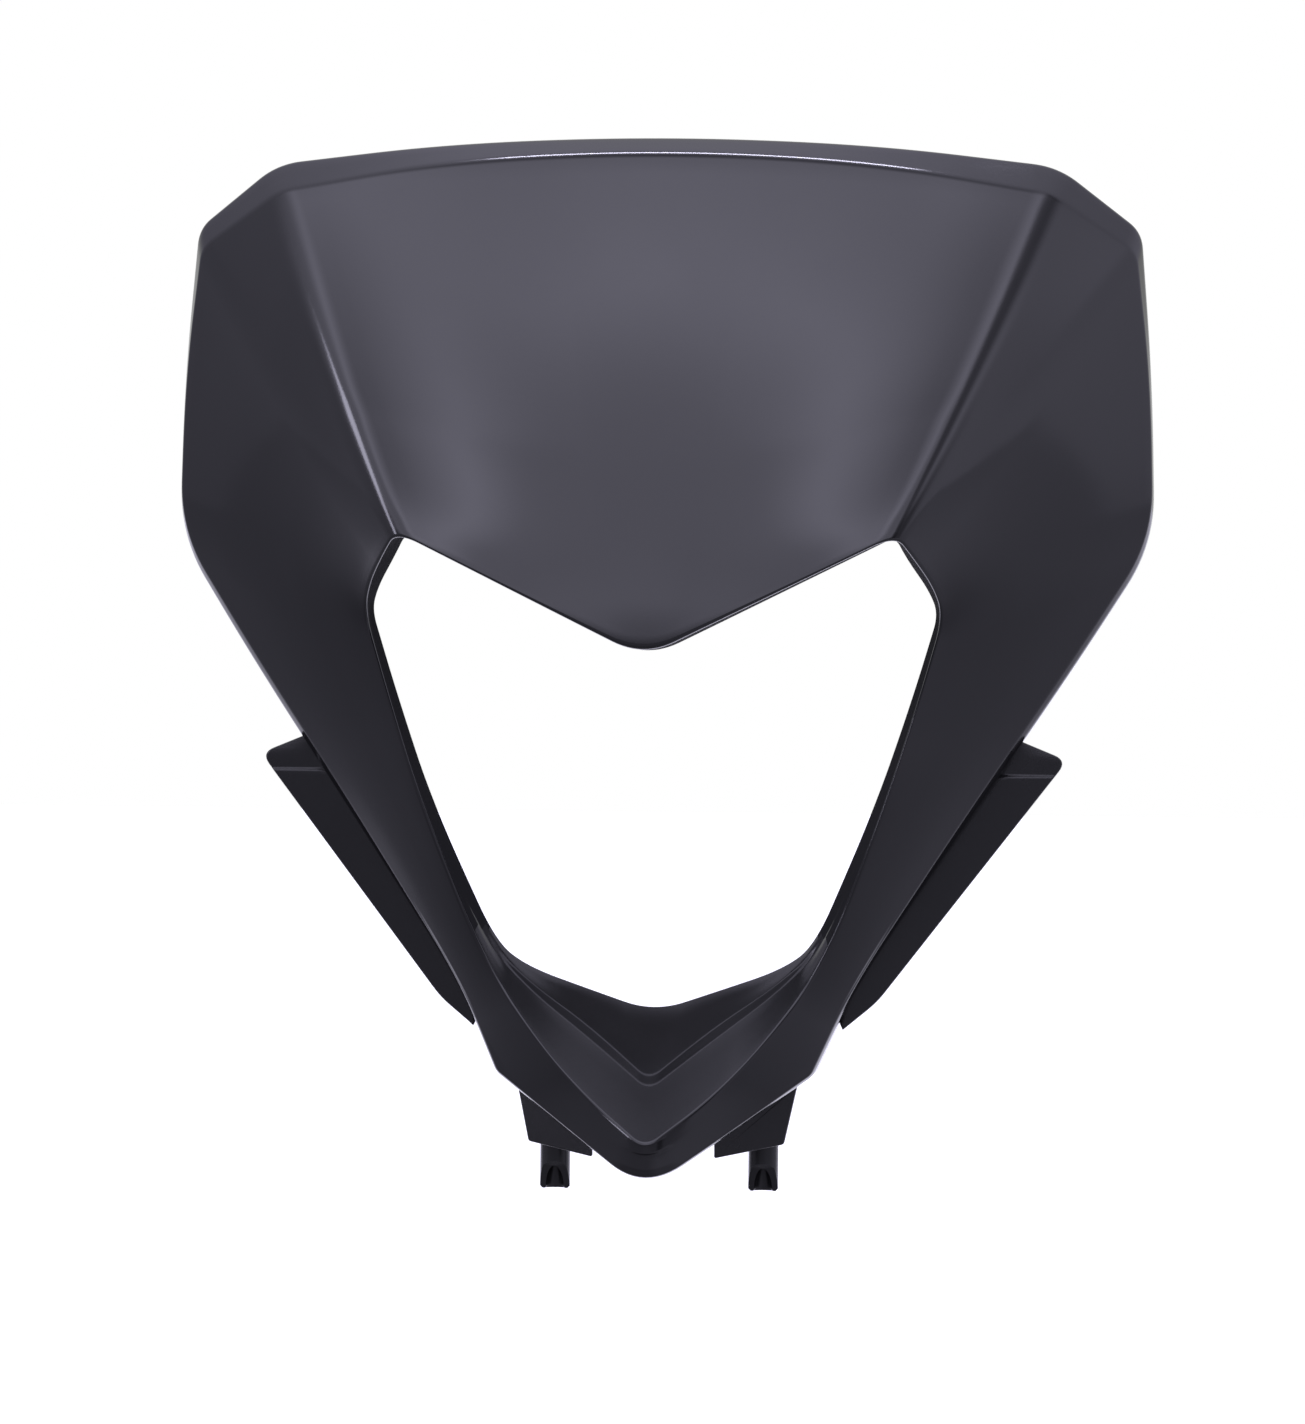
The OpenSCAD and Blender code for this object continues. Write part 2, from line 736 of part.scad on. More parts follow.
module cowl() {
  color(shell_colour) {
    shell();
    both_sides() {
      skirt();
      tab();
      pin();
      boss(boss_low_z);
      boss(boss_low_z + boss_spacing_z);
      ear();
    }
  }
}

cowl();
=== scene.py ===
from math import atan, cos, pi, radians, sin, tan

import bpy
import numpy as np
from mathutils import Matrix, Vector


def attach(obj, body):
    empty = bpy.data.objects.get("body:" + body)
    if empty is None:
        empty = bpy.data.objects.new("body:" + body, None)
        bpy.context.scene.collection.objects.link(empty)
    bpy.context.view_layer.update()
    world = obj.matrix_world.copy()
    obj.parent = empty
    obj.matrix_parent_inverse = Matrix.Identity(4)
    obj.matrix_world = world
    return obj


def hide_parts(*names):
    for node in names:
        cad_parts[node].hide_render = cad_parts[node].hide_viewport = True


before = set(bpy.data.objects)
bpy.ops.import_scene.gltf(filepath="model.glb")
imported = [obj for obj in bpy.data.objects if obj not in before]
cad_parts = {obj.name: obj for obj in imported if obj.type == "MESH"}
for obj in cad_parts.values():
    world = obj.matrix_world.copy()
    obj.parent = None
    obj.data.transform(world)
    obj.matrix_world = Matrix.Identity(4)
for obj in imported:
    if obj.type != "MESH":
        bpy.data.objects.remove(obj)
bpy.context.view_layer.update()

# Lengths below are in millimetres, and MM turns them into metres where a mesh is written
MM = 0.001

# The moulding
WALL = 2.5
EDGE_ROUND = 0.5

# Outline of the cowl
COWL_W = 306
COWL_H = 328.7
SHOULDER_W = 294
CREASE_TOP_W = 241
WIDEST_Z = 206
SHOULDER_Z = 295
CREASE_TOP_Z = 312
CHIN_W = 98
CHIN_CORNER_Z = 38
CHIN_TIP_Z = 3.5

# Depths
CROWN_Y = -36
CREASE_TOP_Y = -19
SHOULDER_Y = -5
WIDEST_Y = -5
ARM_Y = -15
CHIN_CORNER_Y = -26
CHIN_TIP_Y = -60
LOW_Y = -30
PANEL_CROWN = 5
SIDE_CROWN = 4
ARM_CROWN = 3
CHIN_CROWN = 1

# Lamp opening
OPENING_TOP_W = 152
OPENING_TOP_Z = 204
BROW_TIP_Z = 166.5
BROW_Y = -83.25
BROW_SWEEP = 3
BROW_BACK = 20
BROW_HANG = 0.5
OPENING_W = 179
OPENING_SIDE_Z = 180
OPENING_SIDE_Y = -46
OPENING_LOW_W = 106
OPENING_LOW_Z = 72
LIP_TIP_Z = 16.5
CHIN_LIP = 0.5
LIP_IN_TOP = 2
LIP_IN = 3.5
LIP_BACK = 6
RAMP_Z = 57
RAMP_Y = -26
RAMP_RISE = 6
# Height above the opening's low corner up to which the chin's ramp takes the paler black, whose lighter
# base is painted light
RAMP_LIGHTENED_RISE = 10
LEDGE_D = 2.4

# Return flange
TOP_CHAMFER = 8
TOP_RISE = 5
CORNER_OUT = 2
SIDE_CHAMFER = 3
SIDE_OUT = 0.5
ARM_OUT = 1.8
TOP_FLANGE = 12
SIDE_FLANGE = 8
CHIN_FLANGE = 17
TIP_FLANGE = 7

# Side skirts
SKIRT_TIP_Z = 136
SKIRT_TIP_W = 254
SKIRT_LEDGE_Z = 131
SKIRT_LEDGE_D = 0.6
SKIRT_LEDGE_HALF = 0.7
SKIRT_ROOT_Z = 143
SKIRT_LOW_W = 137
SKIRT_LOW_Z = 60
SKIRT_SET = 7.5
SKIRT_TURN = radians(6)
SKIRT_INBOARD = 9
SKIRT_PAST = 13
SKIRT_TIP_ROUND = 4.5
SKIRT_LOW_ROUND = 4
SKIRT_EDGE = 0.8
SKIRT_EDGE_SHARE = 0.4
SKIRT_LEAST_W = 0.1
SKIRT_ROWS = 70
# Stations of the crease between which the arm runs beside the skirt
SKIRT_TOP_STATION = 6
SKIRT_LOW_STATION = 8

# Lower tabs and pins
TAB_W = 80
TAB_GAP = 38
TAB_LOW_Z = 15.5
TAB_DROP = 4
TAB_FLARE = 4
TAB_UNDER = 4
TAB_TURN = radians(28)
TAB_Y = -14
TAB_ROUND = 0.8
TAB_TOP_ROUND = 0.6
TAB_BITE = 1
PIN_SPACING = 65.6
PIN_D = 9.4
PIN_BORE = 5.8
PIN_BORE_DEPTH = 15
PIN_CUT = 8.7
PIN_CUT_IN = 7.2
PIN_CHAMFER = 0.8
PIN_FREE = 17.6
PIN_LIP = 0.35
PIN_TURNS = 64
SHELF_W = 12.4
WEB_H = 13.5
WEB_FOOT_ROUND = 0.4
WEB_ROUND = 1
PLATE_EDGE = 0.4

# Screw bosses and fixing ears
BOSS_SPACING_X = 176
BOSS_LOW_Z = 125
BOSS_SPACING_Z = 160
BOSS_D = 9
BOSS_BORE = 4.2
BOSS_Y = 0
BOSS_BORE_DEPTH = 11
BOSS_EDGE = 0.4
BOSS_TURNS = 48
RIB_T = 1.6
RIB_REACH = 7
RIB_SET = 7
RIB_BITE = 1
RIB_EDGE = 0.3
EAR_SPACING = 236
EAR_Z = 255
EAR_Y = 13
EAR_BORE = 10
EAR_RIM = 4
EAR_T = 3
EAR_ROOT = 18
EAR_EDGE = 0.4
EAR_TURNS = 120

# Columns of a section of the shell, from the opening out to the rear of the flange
OPENING, LEDGE_HIGH, LEDGE_LOW, LIP, FACE_IN, FACE_OUT, CREASE, RIM, REAR = range(9)
COLUMNS = 9
# A corner is never rounded past this share of the side that it cuts, and a setback of SMOOTH always
# comes to that share
MOST = 0.48
SMOOTH = 400.0
# The wall's shift grows where the quads round a point differ, up to WALL / sqrt(LEAST_AGREED)
LEAST_AGREED = 0.4
EASING_PASSES = 20
# Share of a column that the planes of the face's back keep away from the lip and the crease
COLUMN_CLEAR = 0.2
# Places at which the depth of the wall is looked up, between which it is interpolated
WALL_PLACES = 9
NEVER_ZERO = 0.01


def mix(a, b, t):
    """The point a share t of the way from a to b."""
    return a + (b - a) * t


def unit(v):
    """v at length 1, along the last axis."""
    v = np.asarray(v, float)
    return v / np.linalg.norm(v, axis=-1, keepdims=True)


def between(a, b, shares):
    """A point between two corners, with its own share of the way across, in depth and in height."""
    return mix(a, b, np.array(shares))


def control_lines():
    """The lines of the shell's right half, 12 stations from the crown to the chin tip, as arrays
    (12, 3): the lip, the outer crease and the rear edge of the opening."""
    def at(width, depth, height):
        return np.array([width / 2, depth, height], float)
    brow_tip = at(0, BROW_Y, BROW_TIP_Z)
    brow_corner = at(OPENING_TOP_W, BROW_Y + BROW_SWEEP, OPENING_TOP_Z)
    side_corner = at(OPENING_W, OPENING_SIDE_Y, OPENING_SIDE_Z)
    low_corner = at(OPENING_LOW_W, LOW_Y, OPENING_LOW_Z)
    lip_tip = at(0, CHIN_TIP_Y + CHIN_LIP, LIP_TIP_Z)
    lips = np.array([
        brow_tip,
        between(brow_tip, brow_corner, [0.26, 0, 0.26]),
        brow_corner,
        between(brow_corner, side_corner, [0.35, 0.24, 0.25]),
        between(brow_corner, side_corner, [0.8, 0.67, 0.62]),
        side_corner,
        between(side_corner, low_corner, [0.2, 0.13, 0.24]),
        between(side_corner, low_corner, [0.49, 0.19, 0.55]),
        low_corner,
        between(low_corner, lip_tip, [0.365, 0.37, 0.47]),
        between(low_corner, lip_tip, [0.66, 0.56, 0.76]),
        lip_tip,
    ])
    crown = at(0, CROWN_Y, COWL_H - TOP_RISE)
    crease_top = at(CREASE_TOP_W, CREASE_TOP_Y, CREASE_TOP_Z)
    shoulder = at(SHOULDER_W, SHOULDER_Y, SHOULDER_Z)
    widest = at(COWL_W, WIDEST_Y, WIDEST_Z)
    arm_middle = at(mix(COWL_W, CHIN_W, 0.54), ARM_Y, mix(WIDEST_Z, CHIN_CORNER_Z, 0.51))
    chin_corner = at(CHIN_W, CHIN_CORNER_Y, CHIN_CORNER_Z)
    chin_tip = at(0, CHIN_TIP_Y, CHIN_TIP_Z)
    creases = np.array([
        crown,
        between(crown, crease_top, [0.54, 0.24, 0.25]),
        crease_top,
        shoulder,
        between(shoulder, widest, [0.8, 0.6, 0.45]),
        widest,
        between(widest, arm_middle, [0.49, 0.6, 0.5]),
        arm_middle,
        between(arm_middle, chin_corner, [0.75, 0.35, 0.68]),
        chin_corner,
        between(chin_corner, chin_tip, [0.42, 0.36, 0.43]),
        chin_tip,
    ])
    shifts = np.array([
        [0, BROW_BACK, 0],
        [0, BROW_BACK, 0],
        [-LIP_IN_TOP / 2, BROW_BACK, 0],
        [-LIP_IN_TOP, mix(BROW_BACK, LIP_BACK, 0.4), -2 * BROW_HANG],
        [-LIP_IN_TOP, mix(BROW_BACK, LIP_BACK, 0.7), -2 * BROW_HANG],
        [-LIP_IN_TOP, LIP_BACK, 2 * BROW_HANG],
        [-mix(LIP_IN_TOP, LIP_IN, 0.5), LIP_BACK, 0],
        [-LIP_IN, LIP_BACK, 0],
        [-LIP_IN, LIP_BACK, RAMP_RISE],
    ])
    edge = lips[:len(shifts)] + shifts
    ramp_tip = at(0, RAMP_Y, RAMP_Z)
    openings = np.vstack([
        edge,
        between(edge[-1], ramp_tip, [0.21, 0.5, 0.36]),
        between(edge[-1], ramp_tip, [0.59, 0.8, 0.67]),
        ramp_tip,
    ])
    return lips, creases, openings


# Shares of the way from the lip to the opening's rear edge at which the two lines of the ledge run,
# and how much of the ledge each station has: it is there on the chin's ramp only
LEDGE_LOW_AT = np.array([0.5, 0.5, 0.5, 0.5, 0.5, 0.5, 0.5, 0.5, 0.6, 0.68, 0.56, 0.42])
LEDGE_HIGH_AT = np.array([0.75, 0.75, 0.75, 0.75, 0.75, 0.75, 0.75, 0.75, 0.8, 0.79, 0.67, 0.5])
LEDGE_SHARE = np.array([0, 0, 0, 0, 0, 0, 0, 0, 0, 1, 1, 1])

# The shares of the way from the lip to the crease at which the two lines of the face run, and how far
# each stands out. The second list says for how many stations each value holds
FACE_IN_SHARE = 0.14
FACE_OUT_SHARE = 0.6
BULGE_IN = np.repeat(
    [0.7 * PANEL_CROWN, 0.7 * SIDE_CROWN, 0.5 * SIDE_CROWN, 0.2 * ARM_CROWN, 0.2 * CHIN_CROWN],
    [2, 1, 3, 3, 3],
)
BULGE_OUT = np.repeat(
    [PANEL_CROWN, 0.7 * SIDE_CROWN, 0.4 * ARM_CROWN, 0.25 * ARM_CROWN, 0.4 * CHIN_CROWN],
    [2, 4, 2, 1, 3],
)
# The angle at which both lines stand out, from straight forward towards the side
BULGE_TURN = np.radians([0, 6, 25, 40, 45, 45, 40, 40, 40, 35, 30, 0])


def arm_bevel(share):
    """The arms' chamfer: a share of ARM_OUT, square to the arm's edge in the front view."""
    side = unit([WIDEST_Z - CHIN_CORNER_Z, (CHIN_W - COWL_W) / 2]) * ARM_OUT * share
    return [side[0], SIDE_CHAMFER, side[1]]


# Chamfer behind the outer crease, and the length of the flange behind it
BEVELS = np.array([
    [0, TOP_CHAMFER, TOP_RISE],
    [0, TOP_CHAMFER, TOP_RISE + CORNER_OUT / 2],
    [CORNER_OUT, TOP_CHAMFER, TOP_RISE + CORNER_OUT * 2],
    [mix(SIDE_OUT, CORNER_OUT, 0.7), mix(SIDE_CHAMFER, TOP_CHAMFER, 0.4), TOP_RISE * 1.3],
    [SIDE_OUT, SIDE_CHAMFER, -SIDE_OUT / 2],
    [SIDE_OUT, SIDE_CHAMFER, -ARM_OUT],
    arm_bevel(1),
    arm_bevel(0.8),
    arm_bevel(0.4),
    [SIDE_OUT, SIDE_CHAMFER, -SIDE_OUT],
    [SIDE_OUT / 2, SIDE_CHAMFER, -SIDE_OUT],
    [0, SIDE_CHAMFER, -SIDE_OUT],
])
FLANGES = np.array([
    TOP_FLANGE, TOP_FLANGE, TOP_FLANGE, SIDE_FLANGE, SIDE_FLANGE, SIDE_FLANGE, SIDE_FLANGE, SIDE_FLANGE,
    mix(SIDE_FLANGE, CHIN_FLANGE, 0.4), CHIN_FLANGE, CHIN_FLANGE, CHIN_FLANGE + TIP_FLANGE,
])

# Setbacks that round the stations, at the opening, at the ledge, at the lip, at the crease and behind it
OPENING_ROUND = np.array([SMOOTH, SMOOTH, 3, 8, SMOOTH, 5, SMOOTH, SMOOTH, 14, SMOOTH, SMOOTH, 10])
VALLEY_ROUND = np.array([SMOOTH, SMOOTH, 3, 8, SMOOTH, 5, SMOOTH, SMOOTH, 14, SMOOTH, SMOOTH, 5])
LIP_ROUND = np.array([SMOOTH, SMOOTH, 8, 8, SMOOTH, 8, SMOOTH, SMOOTH, SMOOTH, SMOOTH, SMOOTH, 6])
CREASE_ROUND = np.array([SMOOTH, SMOOTH, 6, 5, SMOOTH, 16, SMOOTH, SMOOTH, 20, 1.5, SMOOTH, 16])
FLANGE_ROUND = np.array([SMOOTH, SMOOTH, 8, 5, SMOOTH, 16, SMOOTH, SMOOTH, 20, 2, SMOOTH, 16])
# Setbacks that round the columns, for the lip and the crease at each station
LIP_EDGE_ROUND = np.array([2, 1.5, 1.4, 1.4, 1.4, 1.2, 1, 1, 1, 0.9, 0.9, 0.9])
LEDGE_ROUND = 0.6
CREASE_EDGE_ROUND = np.array([1.8, 1.8, 1.4, 1] + [0.8] * 8)
RIM_ROUND = 1.0

# Steps on each rounded column, and points on the straight stretch after it, then the same for a station
COLUMN_STEPS = [3, 4, 4, 8, 12, 12, 6, 4, 3]
COLUMN_STRAIGHT = [2, 1, 3, 3, 6, 5, 2, 3, 1]
RING_STEPS = 12
RING_STRAIGHT = 4


def control_net():
    """The right half's sections, mirrored into a full ring: an array (22 stations, 9 columns, 3).
    A section runs from the opening's rear edge over the ledge, lip, face and crease to the flange."""
    lips, creases, openings = control_lines()
    out = np.stack([np.sin(BULGE_TURN), -np.cos(BULGE_TURN), 0 * BULGE_TURN], axis=1)
    ledge = LEDGE_SHARE[:, None] * np.array([0, -LEDGE_D, 0])
    flange = np.stack([0 * FLANGES, FLANGES, 0 * FLANGES], axis=1)
    half = np.stack([
        openings,
        mix(lips, openings, LEDGE_HIGH_AT[:, None]) + ledge,
        mix(lips, openings, LEDGE_LOW_AT[:, None]),
        lips,
        mix(lips, creases, FACE_IN_SHARE) + out * BULGE_IN[:, None],
        mix(lips, creases, FACE_OUT_SHARE) + out * BULGE_OUT[:, None],
        creases,
        creases + BEVELS,
        creases + BEVELS + flange,
    ], axis=1)
    other = half[-2:0:-1] * np.array([-1, 1, 1])
    return np.concatenate([half, other])


def around(values):
    """Values of the 12 stations, repeated in the order of the full ring."""
    return np.concatenate([values, values[-2:0:-1]])


def through_wall(net):
    """Shift of each point of the net through the wall. It lies against the mean of the normals of
    the quads that meet there, and is lengthened so that each quad moves by about the wall."""
    step_on = np.roll(net, -1, axis=0)
    normals = unit(np.cross(step_on[:, 1:] - net[:, :-1], net[:, 1:] - step_on[:, :-1]))
    total = np.zeros_like(net)
    count = np.zeros(net.shape[:2] + (1,))
    for quads in (normals, np.roll(normals, 1, axis=0)):
        total[:, :-1] += quads
        total[:, 1:] += quads
        count[:, :-1] += 1
        count[:, 1:] += 1
    mean = total / count
    return -mean * WALL / np.maximum(LEAST_AGREED, (mean * mean).sum(-1, keepdims=True))


def rounded_loop(points, setbacks, steps, straights):
    """Rounds every corner of closed loops. points is (corners, loops, 3) and setbacks (corners, loops).
    A corner is a quadratic curve with its ends set back along both sides, and the straight
    stretch to the next corner is cut into equal lengths. Also gives each point's corner."""
    count = len(points)
    before, after = np.roll(points, 1, axis=0), np.roll(points, -1, axis=0)
    near = np.minimum(MOST, setbacks / np.linalg.norm(before - points, axis=-1))[..., None]
    far = np.minimum(MOST, setbacks / np.linalg.norm(after - points, axis=-1))[..., None]
    start, end = mix(points, before, near), mix(points, after, far)
    rows, corners = [], []
    for i in range(count):
        for t in np.linspace(0, 1, steps[i] + 1):
            rows.append(mix(mix(start[i], points[i], t), mix(points[i], end[i], t), t))
            corners.append(float(i))
        onward = start[(i + 1) % count]
        for t in np.linspace(0, 1, straights[i] + 2)[1:-1]:
            rows.append(mix(end[i], onward, t))
            corners.append(i + t)
    return np.array(rows), np.array(corners)


def eased(rows, kept):
    """Evens the curvature across the rows: again and again, each row goes to a quarter of both
    its neighbours and half of itself, except the kept ones."""
    for _ in range(EASING_PASSES):
        evened = (np.roll(rows, 1, axis=0) + 2 * rows + np.roll(rows, -1, axis=0)) / 4
        rows = np.where(kept[:, None, None], rows, evened)
    return rows


def inner_place(place):
    """The place on the inner skin that lies behind a place on the outer one, and the other way round."""
    return 2 * COLUMNS - 1 - place


def shell_surface():
    """The shell as one closed grid. Its first parameter runs round the section, over the outer
    columns and back over the inner ones, and its second runs round the lamp opening."""
    outer = control_net()
    inner = outer + through_wall(outer)
    loop = np.concatenate([outer, inner[:, ::-1]], axis=1).transpose(1, 0, 2)
    stations = loop.shape[1]
    column_round = np.full((COLUMNS, stations), SMOOTH)
    column_round[[OPENING, REAR]] = EDGE_ROUND
    column_round[[LEDGE_HIGH, LEDGE_LOW]] = LEDGE_ROUND
    column_round[LIP] = around(LIP_EDGE_ROUND)
    column_round[CREASE] = around(CREASE_EDGE_ROUND)
    column_round[RIM] = RIM_ROUND
    both = np.concatenate([column_round, column_round[::-1]])
    steps = COLUMN_STEPS + COLUMN_STEPS[::-1]
    # the stretch after an inner column is the one before it on the outer side
    straights = COLUMN_STRAIGHT[:-1] + [1] + COLUMN_STRAIGHT[:-1][::-1] + [1]
    rows, place = rounded_loop(loop, both, steps, straights)
    column = np.where(place <= REAR, place, inner_place(place))
    column = np.clip(column, OPENING, REAR)
    rows = eased(rows, (column <= LIP) | (column >= CREASE))
    marks = np.array([OPENING, LEDGE_HIGH, LEDGE_LOW, LIP, CREASE, RIM, REAR])
    rounds = np.array([around(values) for values in (
        OPENING_ROUND, VALLEY_ROUND, VALLEY_ROUND, LIP_ROUND, CREASE_ROUND, FLANGE_ROUND, FLANGE_ROUND,
    )])
    mark = np.clip(np.searchsorted(marks, column, side="right") - 1, 0, len(marks) - 2)
    onward = ((column - marks[mark]) / (marks[mark + 1] - marks[mark]))[:, None]
    ring_round = mix(rounds[mark], rounds[mark + 1], onward)
    points, _ = rounded_loop(
        rows.transpose(1, 0, 2), ring_round.T, [RING_STEPS] * stations, [RING_STRAIGHT] * stations
    )
    return points.transpose(1, 0, 2), place


def grid_faces(rows, columns, close_rows, close_columns):
    """Corner numbers of the quads of a grid, (quads, 4)."""
    i = np.arange(rows if close_rows else rows - 1)
    j = np.arange(columns if close_columns else columns - 1)
    a, b = np.meshgrid(i, j, indexing="ij")
    a, b = a.ravel(), b.ravel()
    a2, b2 = (a + 1) % rows, (b + 1) % columns
    return np.stack([a * columns + b, a2 * columns + b, a2 * columns + b2, a * columns + b2], axis=1)


def end_caps(rows, columns):
    """The first and last row of a grid that closes round its columns, as two many-sided faces."""
    first = np.arange(columns)
    return [first, (rows - 1) * columns + first[::-1]]


def signed_volume(points, quads):
    """Volume inside the quads: positive where they face outwards."""
    a, b, c, d = (points[quads[:, k]] for k in range(4))
    return float((np.cross(a, b) * c).sum() + (np.cross(a, c) * d).sum()) / 6


def make_piece(name, points, quads, caps=(), materials=(), material_of=None, crisp=None):
    """Writes one closed piece from points in millimetres, quads and many-sided end caps.
    The faces are turned outwards, shaded smooth up to the angle crisp, and ride on the one body."""
    points = np.asarray(points, float).reshape(-1, 3)
    cap_quads = [
        np.stack([np.full(len(cap) - 2, cap[0]), cap[1:-1], cap[2:], cap[2:]], axis=1) for cap in caps
    ]
    every = np.concatenate([quads] + cap_quads) if cap_quads else quads
    if signed_volume(points, every) < 0:
        quads = quads[:, ::-1]
        caps = [cap[::-1] for cap in caps]
    faces = [list(map(int, q)) for q in quads] + [list(map(int, cap)) for cap in caps]
    mesh = bpy.data.meshes.new(name)
    mesh.from_pydata(points * MM, [], faces)
    mesh.update()
    for material in materials:
        mesh.materials.append(material)
    if material_of is not None:
        mesh.polygons.foreach_set("material_index", np.asarray(material_of, np.int32))
    smooth = np.arange(len(mesh.polygons)) < len(quads)
    mesh.polygons.foreach_set("use_smooth", smooth)
    if crisp is not None:
        mesh.set_sharp_from_angle(angle=crisp)
    piece = bpy.data.objects.new(name, mesh)
    bpy.context.scene.collection.objects.link(piece)
    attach(piece, "root")
    return piece


def corner(a, p, b, setback, steps):
    """A rounded corner of a flat outline: a quadratic curve from the side to a to the side to b."""
    a, p, b = (np.asarray(v, float) for v in (a, p, b))
    start = mix(p, a, min(MOST, setback / np.linalg.norm(a - p)))
    end = mix(p, b, min(MOST, setback / np.linalg.norm(b - p)))
    t = np.linspace(0, 1, steps + 1)[:, None]
    return mix(mix(start, p, t), mix(p, end, t), t)


def rounded_outline(corners, setbacks, steps=6):
    """A closed flat outline with every corner rounded by its setback."""
    n = len(corners)
    return np.vstack([
        corner(corners[i - 1], corners[i], corners[(i + 1) % n], setbacks[i], steps) for i in range(n)
    ])


def plate(name, outline, origin, along, up, through, edge, material):
    """A flat plate with rounded edges. outline is (n, 2) in the along and up directions, and through
    carries it to the other side. Each ring is the outline drawn in by edge * (1 - sin a) and set
    edge * (1 - cos a) below its face, for a from 0 to a quarter turn."""
    outline = np.asarray(outline, float)
    origin, along, up, through = (np.asarray(v, float) for v in (origin, along, up, through))
    tangent = unit(np.roll(outline, -1, axis=0) - np.roll(outline, 1, axis=0))
    inward = np.stack([-tangent[:, 1], tangent[:, 0]], axis=1)
    area = (outline[:, 0] * np.roll(outline[:, 1], -1) - np.roll(outline[:, 0], -1) * outline[:, 1]).sum()
    inward *= np.sign(area)
    thick = np.linalg.norm(through)
    a = np.linspace(0, pi / 2, 5)
    drawn_in = edge * (1 - np.sin(a))
    set_back = edge * (1 - np.cos(a)) / thick
    inset = np.concatenate([drawn_in, drawn_in[::-1]])
    depth = np.concatenate([set_back, 1 - set_back[::-1]])
    flat = outline[None] + inward[None] * inset[:, None, None]
    points = (
        origin + flat[..., :1] * along + flat[..., 1:] * up + depth[:, None, None] * through
    )
    rows, columns = points.shape[:2]
    quads = grid_faces(rows, columns, False, True)
    make_piece(name, points, quads, end_caps(rows, columns), [material])


def mirrored(points, side):
    """Points moved to the other side of the mirror plane where side is -1."""
    return np.asarray(points, float) * np.array([side, 1, 1])


def leaf_frame():
    """A skirt's plane before it is set back: its root on the arm's crease, its outward normal, and
    the crease's point near its lower end."""
    _, creases, _ = control_lines()
    top, low = creases[SKIRT_TOP_STATION], creases[SKIRT_LOW_STATION]
    root = mix(top, low, (top[2] - SKIRT_ROOT_Z) / (top[2] - low[2]))
    normal = unit(np.cross(unit(low - root), [cos(SKIRT_TURN), sin(SKIRT_TURN), 0]))
    if normal[1] > 0:
        normal = -normal
    return root, normal, low


def skirt(name, side, material):
    """A skirt: at each height the section runs from the root, hidden behind the arm, out to the
    edge, round it and back. Above the ledge it is set back by SKIRT_LEDGE_D * s * s * (3 - 2 * s),
    where s goes from 0 to 1 across the ledge."""
    root, normal, low = leaf_frame()
    top = np.array([root[0], SKIRT_ROOT_Z - 1.0])
    tip = np.array([SKIRT_TIP_W / 2, SKIRT_TIP_Z])
    bottom = np.array([SKIRT_LOW_W / 2, SKIRT_LOW_Z])
    end = np.array([low[0] - SKIRT_INBOARD / 3, low[2] - SKIRT_PAST])
    outer = np.vstack([
        [root[0] - SKIRT_INBOARD, SKIRT_ROOT_Z + 1], top,
        corner(top, tip, bottom, SKIRT_TIP_ROUND, 8), corner(tip, bottom, end, SKIRT_LOW_ROUND, 6), end,
    ])
    inner = np.array([[root[0] - SKIRT_INBOARD, SKIRT_ROOT_Z + 1], [low[0] - SKIRT_INBOARD, low[2]], end])
    low_z, high_z = end[1] + 0.05, SKIRT_ROOT_Z + 0.9
    z = np.unique(np.concatenate([
        np.linspace(low_z, high_z, SKIRT_ROWS),
        np.linspace(SKIRT_LEDGE_Z - SKIRT_LEDGE_HALF, SKIRT_LEDGE_Z + SKIRT_LEDGE_HALF, 9),
        outer[:, 1].clip(low_z, high_z),
    ]))
    x_out = np.interp(z, outer[::-1, 1], outer[::-1, 0])
    x_in = np.minimum(np.interp(z, inner[::-1, 1], inner[::-1, 0]), x_out - SKIRT_LEAST_W)
    thick = WALL / abs(normal[1])
    edge = np.minimum(SKIRT_EDGE, (x_out - x_in) * SKIRT_EDGE_SHARE)[:, None]
    a = np.linspace(0, pi / 2, 6)[None]
    middle = mix(x_in, x_out - edge[:, 0], 0.5)
    flat = np.stack([x_in, middle], axis=1)
    turned = x_out[:, None] - edge * (1 - np.sin(a))
    across = np.concatenate([flat, turned, turned[:, ::-1], flat[:, ::-1]], axis=1)
    back = edge * (1 - np.cos(a))
    none = np.zeros((len(z), 2))
    behind = np.concatenate([none, back, thick - back[:, ::-1], none + thick], axis=1)
    plane = root[1] + SKIRT_SET - (
        (across - root[0]) * normal[0] + (z[:, None] - root[2]) * normal[2]
    ) / normal[1]
    s = np.clip((z - SKIRT_LEDGE_Z + SKIRT_LEDGE_HALF) / (2 * SKIRT_LEDGE_HALF), 0, 1)
    set_back = s * s * (3 - 2 * s) * SKIRT_LEDGE_D
    depth = plane + behind + set_back[:, None]
    height = np.repeat(z[:, None], across.shape[1], axis=1)
    points = np.stack([across, depth, height], axis=-1)
    rows, columns = points.shape[:2]
    quads = grid_faces(rows, columns, False, True)
    make_piece(name, mirrored(points, side), quads, end_caps(rows, columns), [material])


